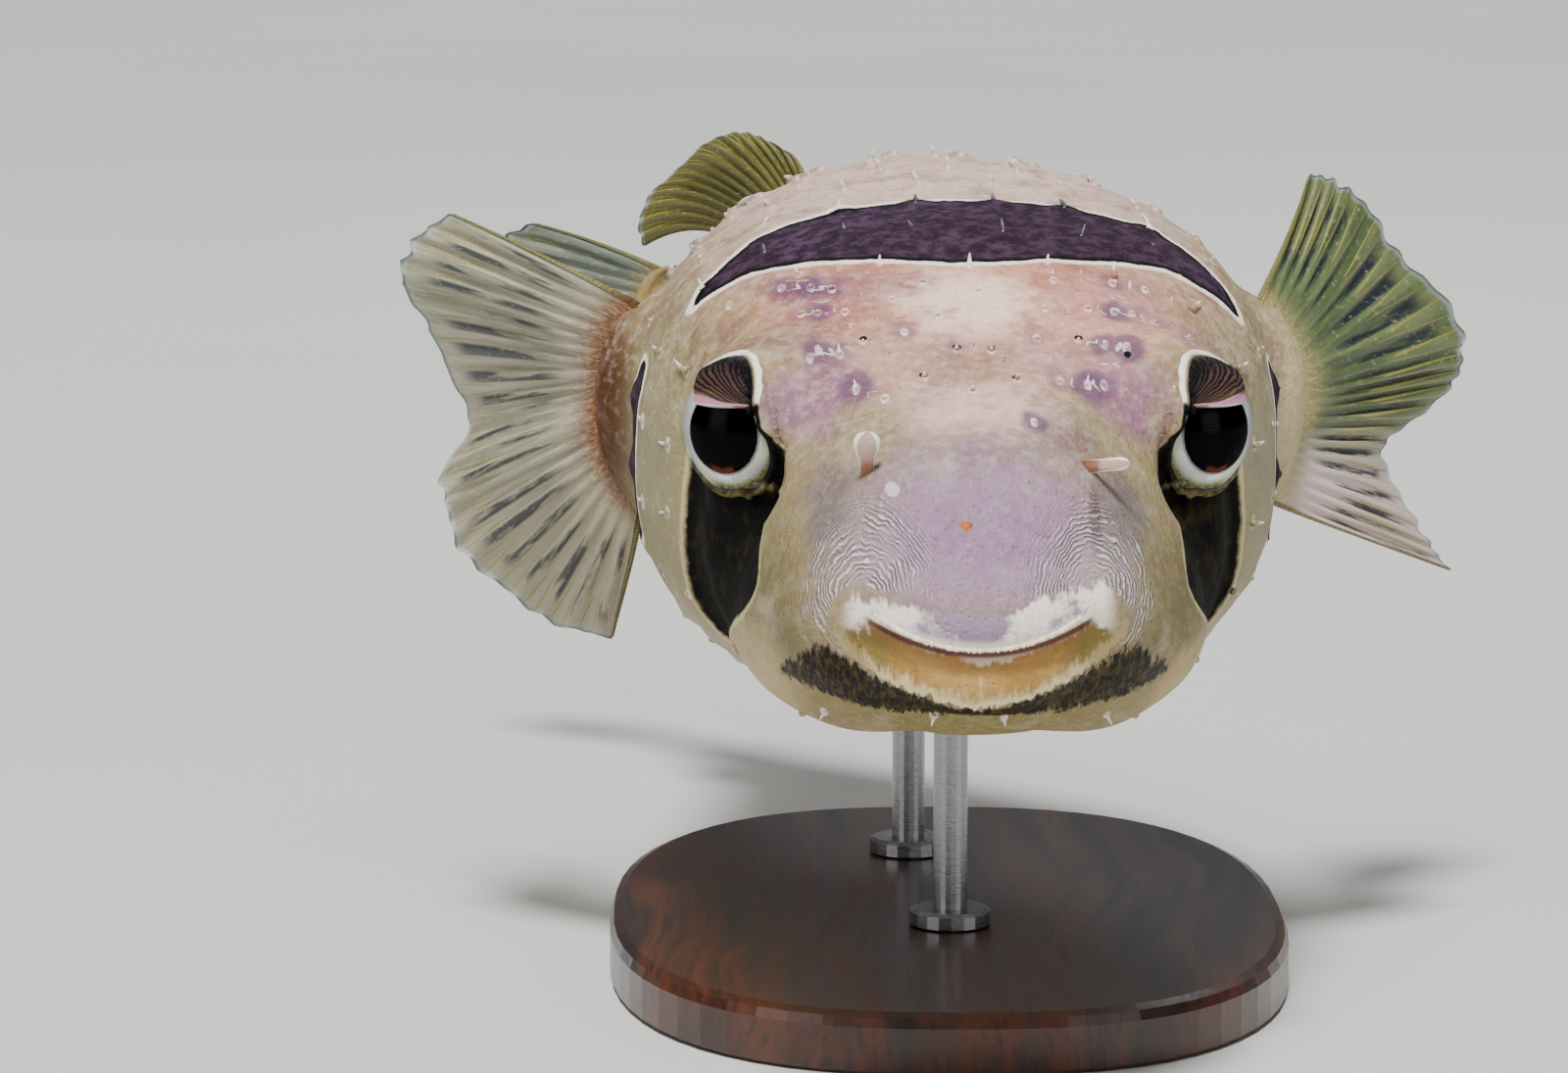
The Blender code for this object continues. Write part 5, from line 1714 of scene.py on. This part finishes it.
# The stand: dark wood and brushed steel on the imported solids

def woodMaterial():
    material, t = startMaterial("stand_wood")
    place = t.add("ShaderNodeTexCoord", out=3)
    place = t.vector("ADD", place, t.shiftBy(t.noise(place, 9), 0.03))
    grain = t.noise(place, (160, 9, 60), 5, 0.6)
    lines = t.noise(place, (900, 30, 300), 3, 0.6)
    coat = Coat(t, t.mix(t.within(grain, 0.32, 0.68), (52, 32, 22), (104, 66, 42)))
    coat.lay((34, 21, 15), lines, 0.52, 0.66, 0.6)
    normal = t.bump(lines * 0.6 + grain * 0.4, 0.00025, 0.5)
    values = {"Base Color": coat.colour, "Roughness": t.within(grain, 0.3, 0.7, 0.3, 0.44)}
    setShader(t, values | {"Normal": normal, "Coat Weight": 0.35, "Coat Roughness": 0.2})
    return material


def steelMaterial():
    material, t = startMaterial("stand_steel")
    brushed = t.noise(t.add("ShaderNodeTexCoord", out=3), (300, 300, 9000), 3, 0.6)
    colour = t.mix(brushed, (150, 150, 152), (196, 196, 198))
    values = {"Base Color": colour, "Roughness": t.within(brushed, 0.3, 0.7, 0.24, 0.38), "Metallic": 1.0}
    setShader(t, values | {"Normal": t.bump(brushed, 0.00008, 0.4)})
    return material


# Floor, lights and camera

studio = {
    "floor": 4.0,  # from its middle to its edges
    "lights": (  # name, place, size, power, warmth
        ("key", (-0.22, -0.8, 1.15), 0.4, 6.0, (1.0, 0.975, 0.94)),
        ("fill", (0.8, -0.85, 0.3), 0.6, 2.5, (0.95, 0.97, 1.0)),
        ("left", (-0.95, -0.55, 0.35), 0.6, 2.5, (1.0, 0.98, 0.95)),
        ("back", (0.15, 0.95, 0.95), 0.6, 3.0, (1.0, 1.0, 1.0)),
    ),
    "litAt": 0.08,  # the height that they point at
    "sun": ((-0.08, -0.42, 1.0), 4.1, math.radians(12)),  # from where, how strong, how wide it looks
    "world": (0.86, 0.88, 0.9, 1.0),
    "worldStrength": 0.16,
    "distance": 0.75,
    "azimuth": math.radians(2.5),
    "elevation": math.radians(10),
    "aim": (-0.0262, 0.0153),  # right and up of the mouth
    "lens": 129.9,
    "sensor": 36,
}


def addLamp(name, kind, place, target, **settings):
    lamp = bpy.data.lights.new(name, kind)
    for setting, value in settings.items():
        setattr(lamp, setting, value)
    thing = bpy.data.objects.new(name, lamp)
    thing.location = place
    thing.rotation_euler = (Vector(target) - Vector(place)).to_track_quat("-Z", "Y").to_euler()
    scene.collection.objects.link(thing)


def makeStudio():
    material, t = startMaterial("floor")
    mottled = t.noise(t.add("ShaderNodeTexCoord", out=3), 3, 2)
    shade = t.mix(mottled, (214, 214, 212), (222, 222, 221))
    setShader(t, {"Base Color": shade, "Roughness": 0.75})
    half = studio["floor"]
    corners = [(-half, -half, 0), (half, -half, 0), (half, half, 0), (-half, half, 0)]
    floor = makePiece("floor", corners, [(0, 1, 2, 3)], material)
    for name, place, size, power, warmth in studio["lights"]:
        target = (0, 0, studio["litAt"])
        addLamp(name, "AREA", place, target, shape="SQUARE", size=size, energy=power, color=warmth)
    place, strength, angle = studio["sun"]
    addLamp("sun", "SUN", place, (0, 0, 0), energy=strength, angle=angle)
    world = bpy.data.worlds.new("studio")
    world.use_nodes = True
    background = {"Color": studio["world"], "Strength": studio["worldStrength"]}
    Tree(world.node_tree).connect(world.node_tree.nodes["Background"], background)
    scene.world = world


def makeCamera():
    turn, lift = studio["azimuth"], studio["elevation"]
    front = Vector((0, -pose["snoutToBase"], pose["mouthHeight"]))
    back = Vector((-math.sin(turn) * math.cos(lift), -math.cos(turn) * math.cos(lift), math.sin(lift)))
    right = (-back).cross(Vector((0, 0, 1))).normalized()
    up = right.cross(-back)
    camera = bpy.data.cameras.new("camera")
    camera.lens = studio["lens"]
    camera.sensor_width = studio["sensor"]
    camera.clip_start = 0.01
    thing = bpy.data.objects.new("camera", camera)
    thing.location = front + back * studio["distance"]
    aim = front + right * studio["aim"][0] + up * studio["aim"][1]
    thing.rotation_euler = (aim - thing.location).to_track_quat("-Z", "Y").to_euler()
    scene.collection.objects.link(thing)
    scene.camera = thing


def buildAll():
    skinShade = skinMaterial()
    roots, details = spineRoots()
    body = makeSkin(skinShade, roots, details)
    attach(body, "root")
    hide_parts("head", "trunk", "tail")
    print("skin", len(body.data.polygons))

    eyeballShade = eyeballMaterial()
    corneaShade = corneaMaterial()
    outline = lidOutline()
    rows = [*outerRows(outline), *veilRows(outline)]
    over = eye["ball"] + eye["corneaGap"]
    bulge = eye["cornea"] - eye["ball"]
    for side, word in ((-1, "right"), (1, "left")):
        hood = makeLid(side, outline, rows, skinShade)
        ball = makeBall("eyeball_" + word, side, eye["ball"], eye["pupilTurn"], eyeballShade)
        clear = makeBall("cornea_" + word, side, over, eye["turn"], corneaShade, bulge)
        for piece in (hood, ball, clear):
            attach(piece, "root")
        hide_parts("eye_" + word)
    print("eyes and lids")

    tentacleShade = tentacleMaterial()
    for word, shape in nostrils.items():
        piece = makeTentacle("tentacle_" + word, shape, tentacleShade)
        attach(piece, "root")
        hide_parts("nostril_" + word)

    rays = finTree()
    for name, fin in fins.items():
        piece = makeFin(name, fin, rays)
        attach(piece, "root")
        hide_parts(fin["replaces"])
    print("fins")

    coat = makeSpines(roots, details)
    edging = makeFringe()
    for piece in (coat, edging):
        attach(piece, "root")
    print("spines", len(roots))

    wood = woodMaterial()
    steel = steelMaterial()
    for name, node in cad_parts.items():
        if name.startswith("stand_"):
            for slot in node.material_slots:
                slot.material = wood if name == "stand_base" else steel


buildAll()
makeStudio()
makeCamera()
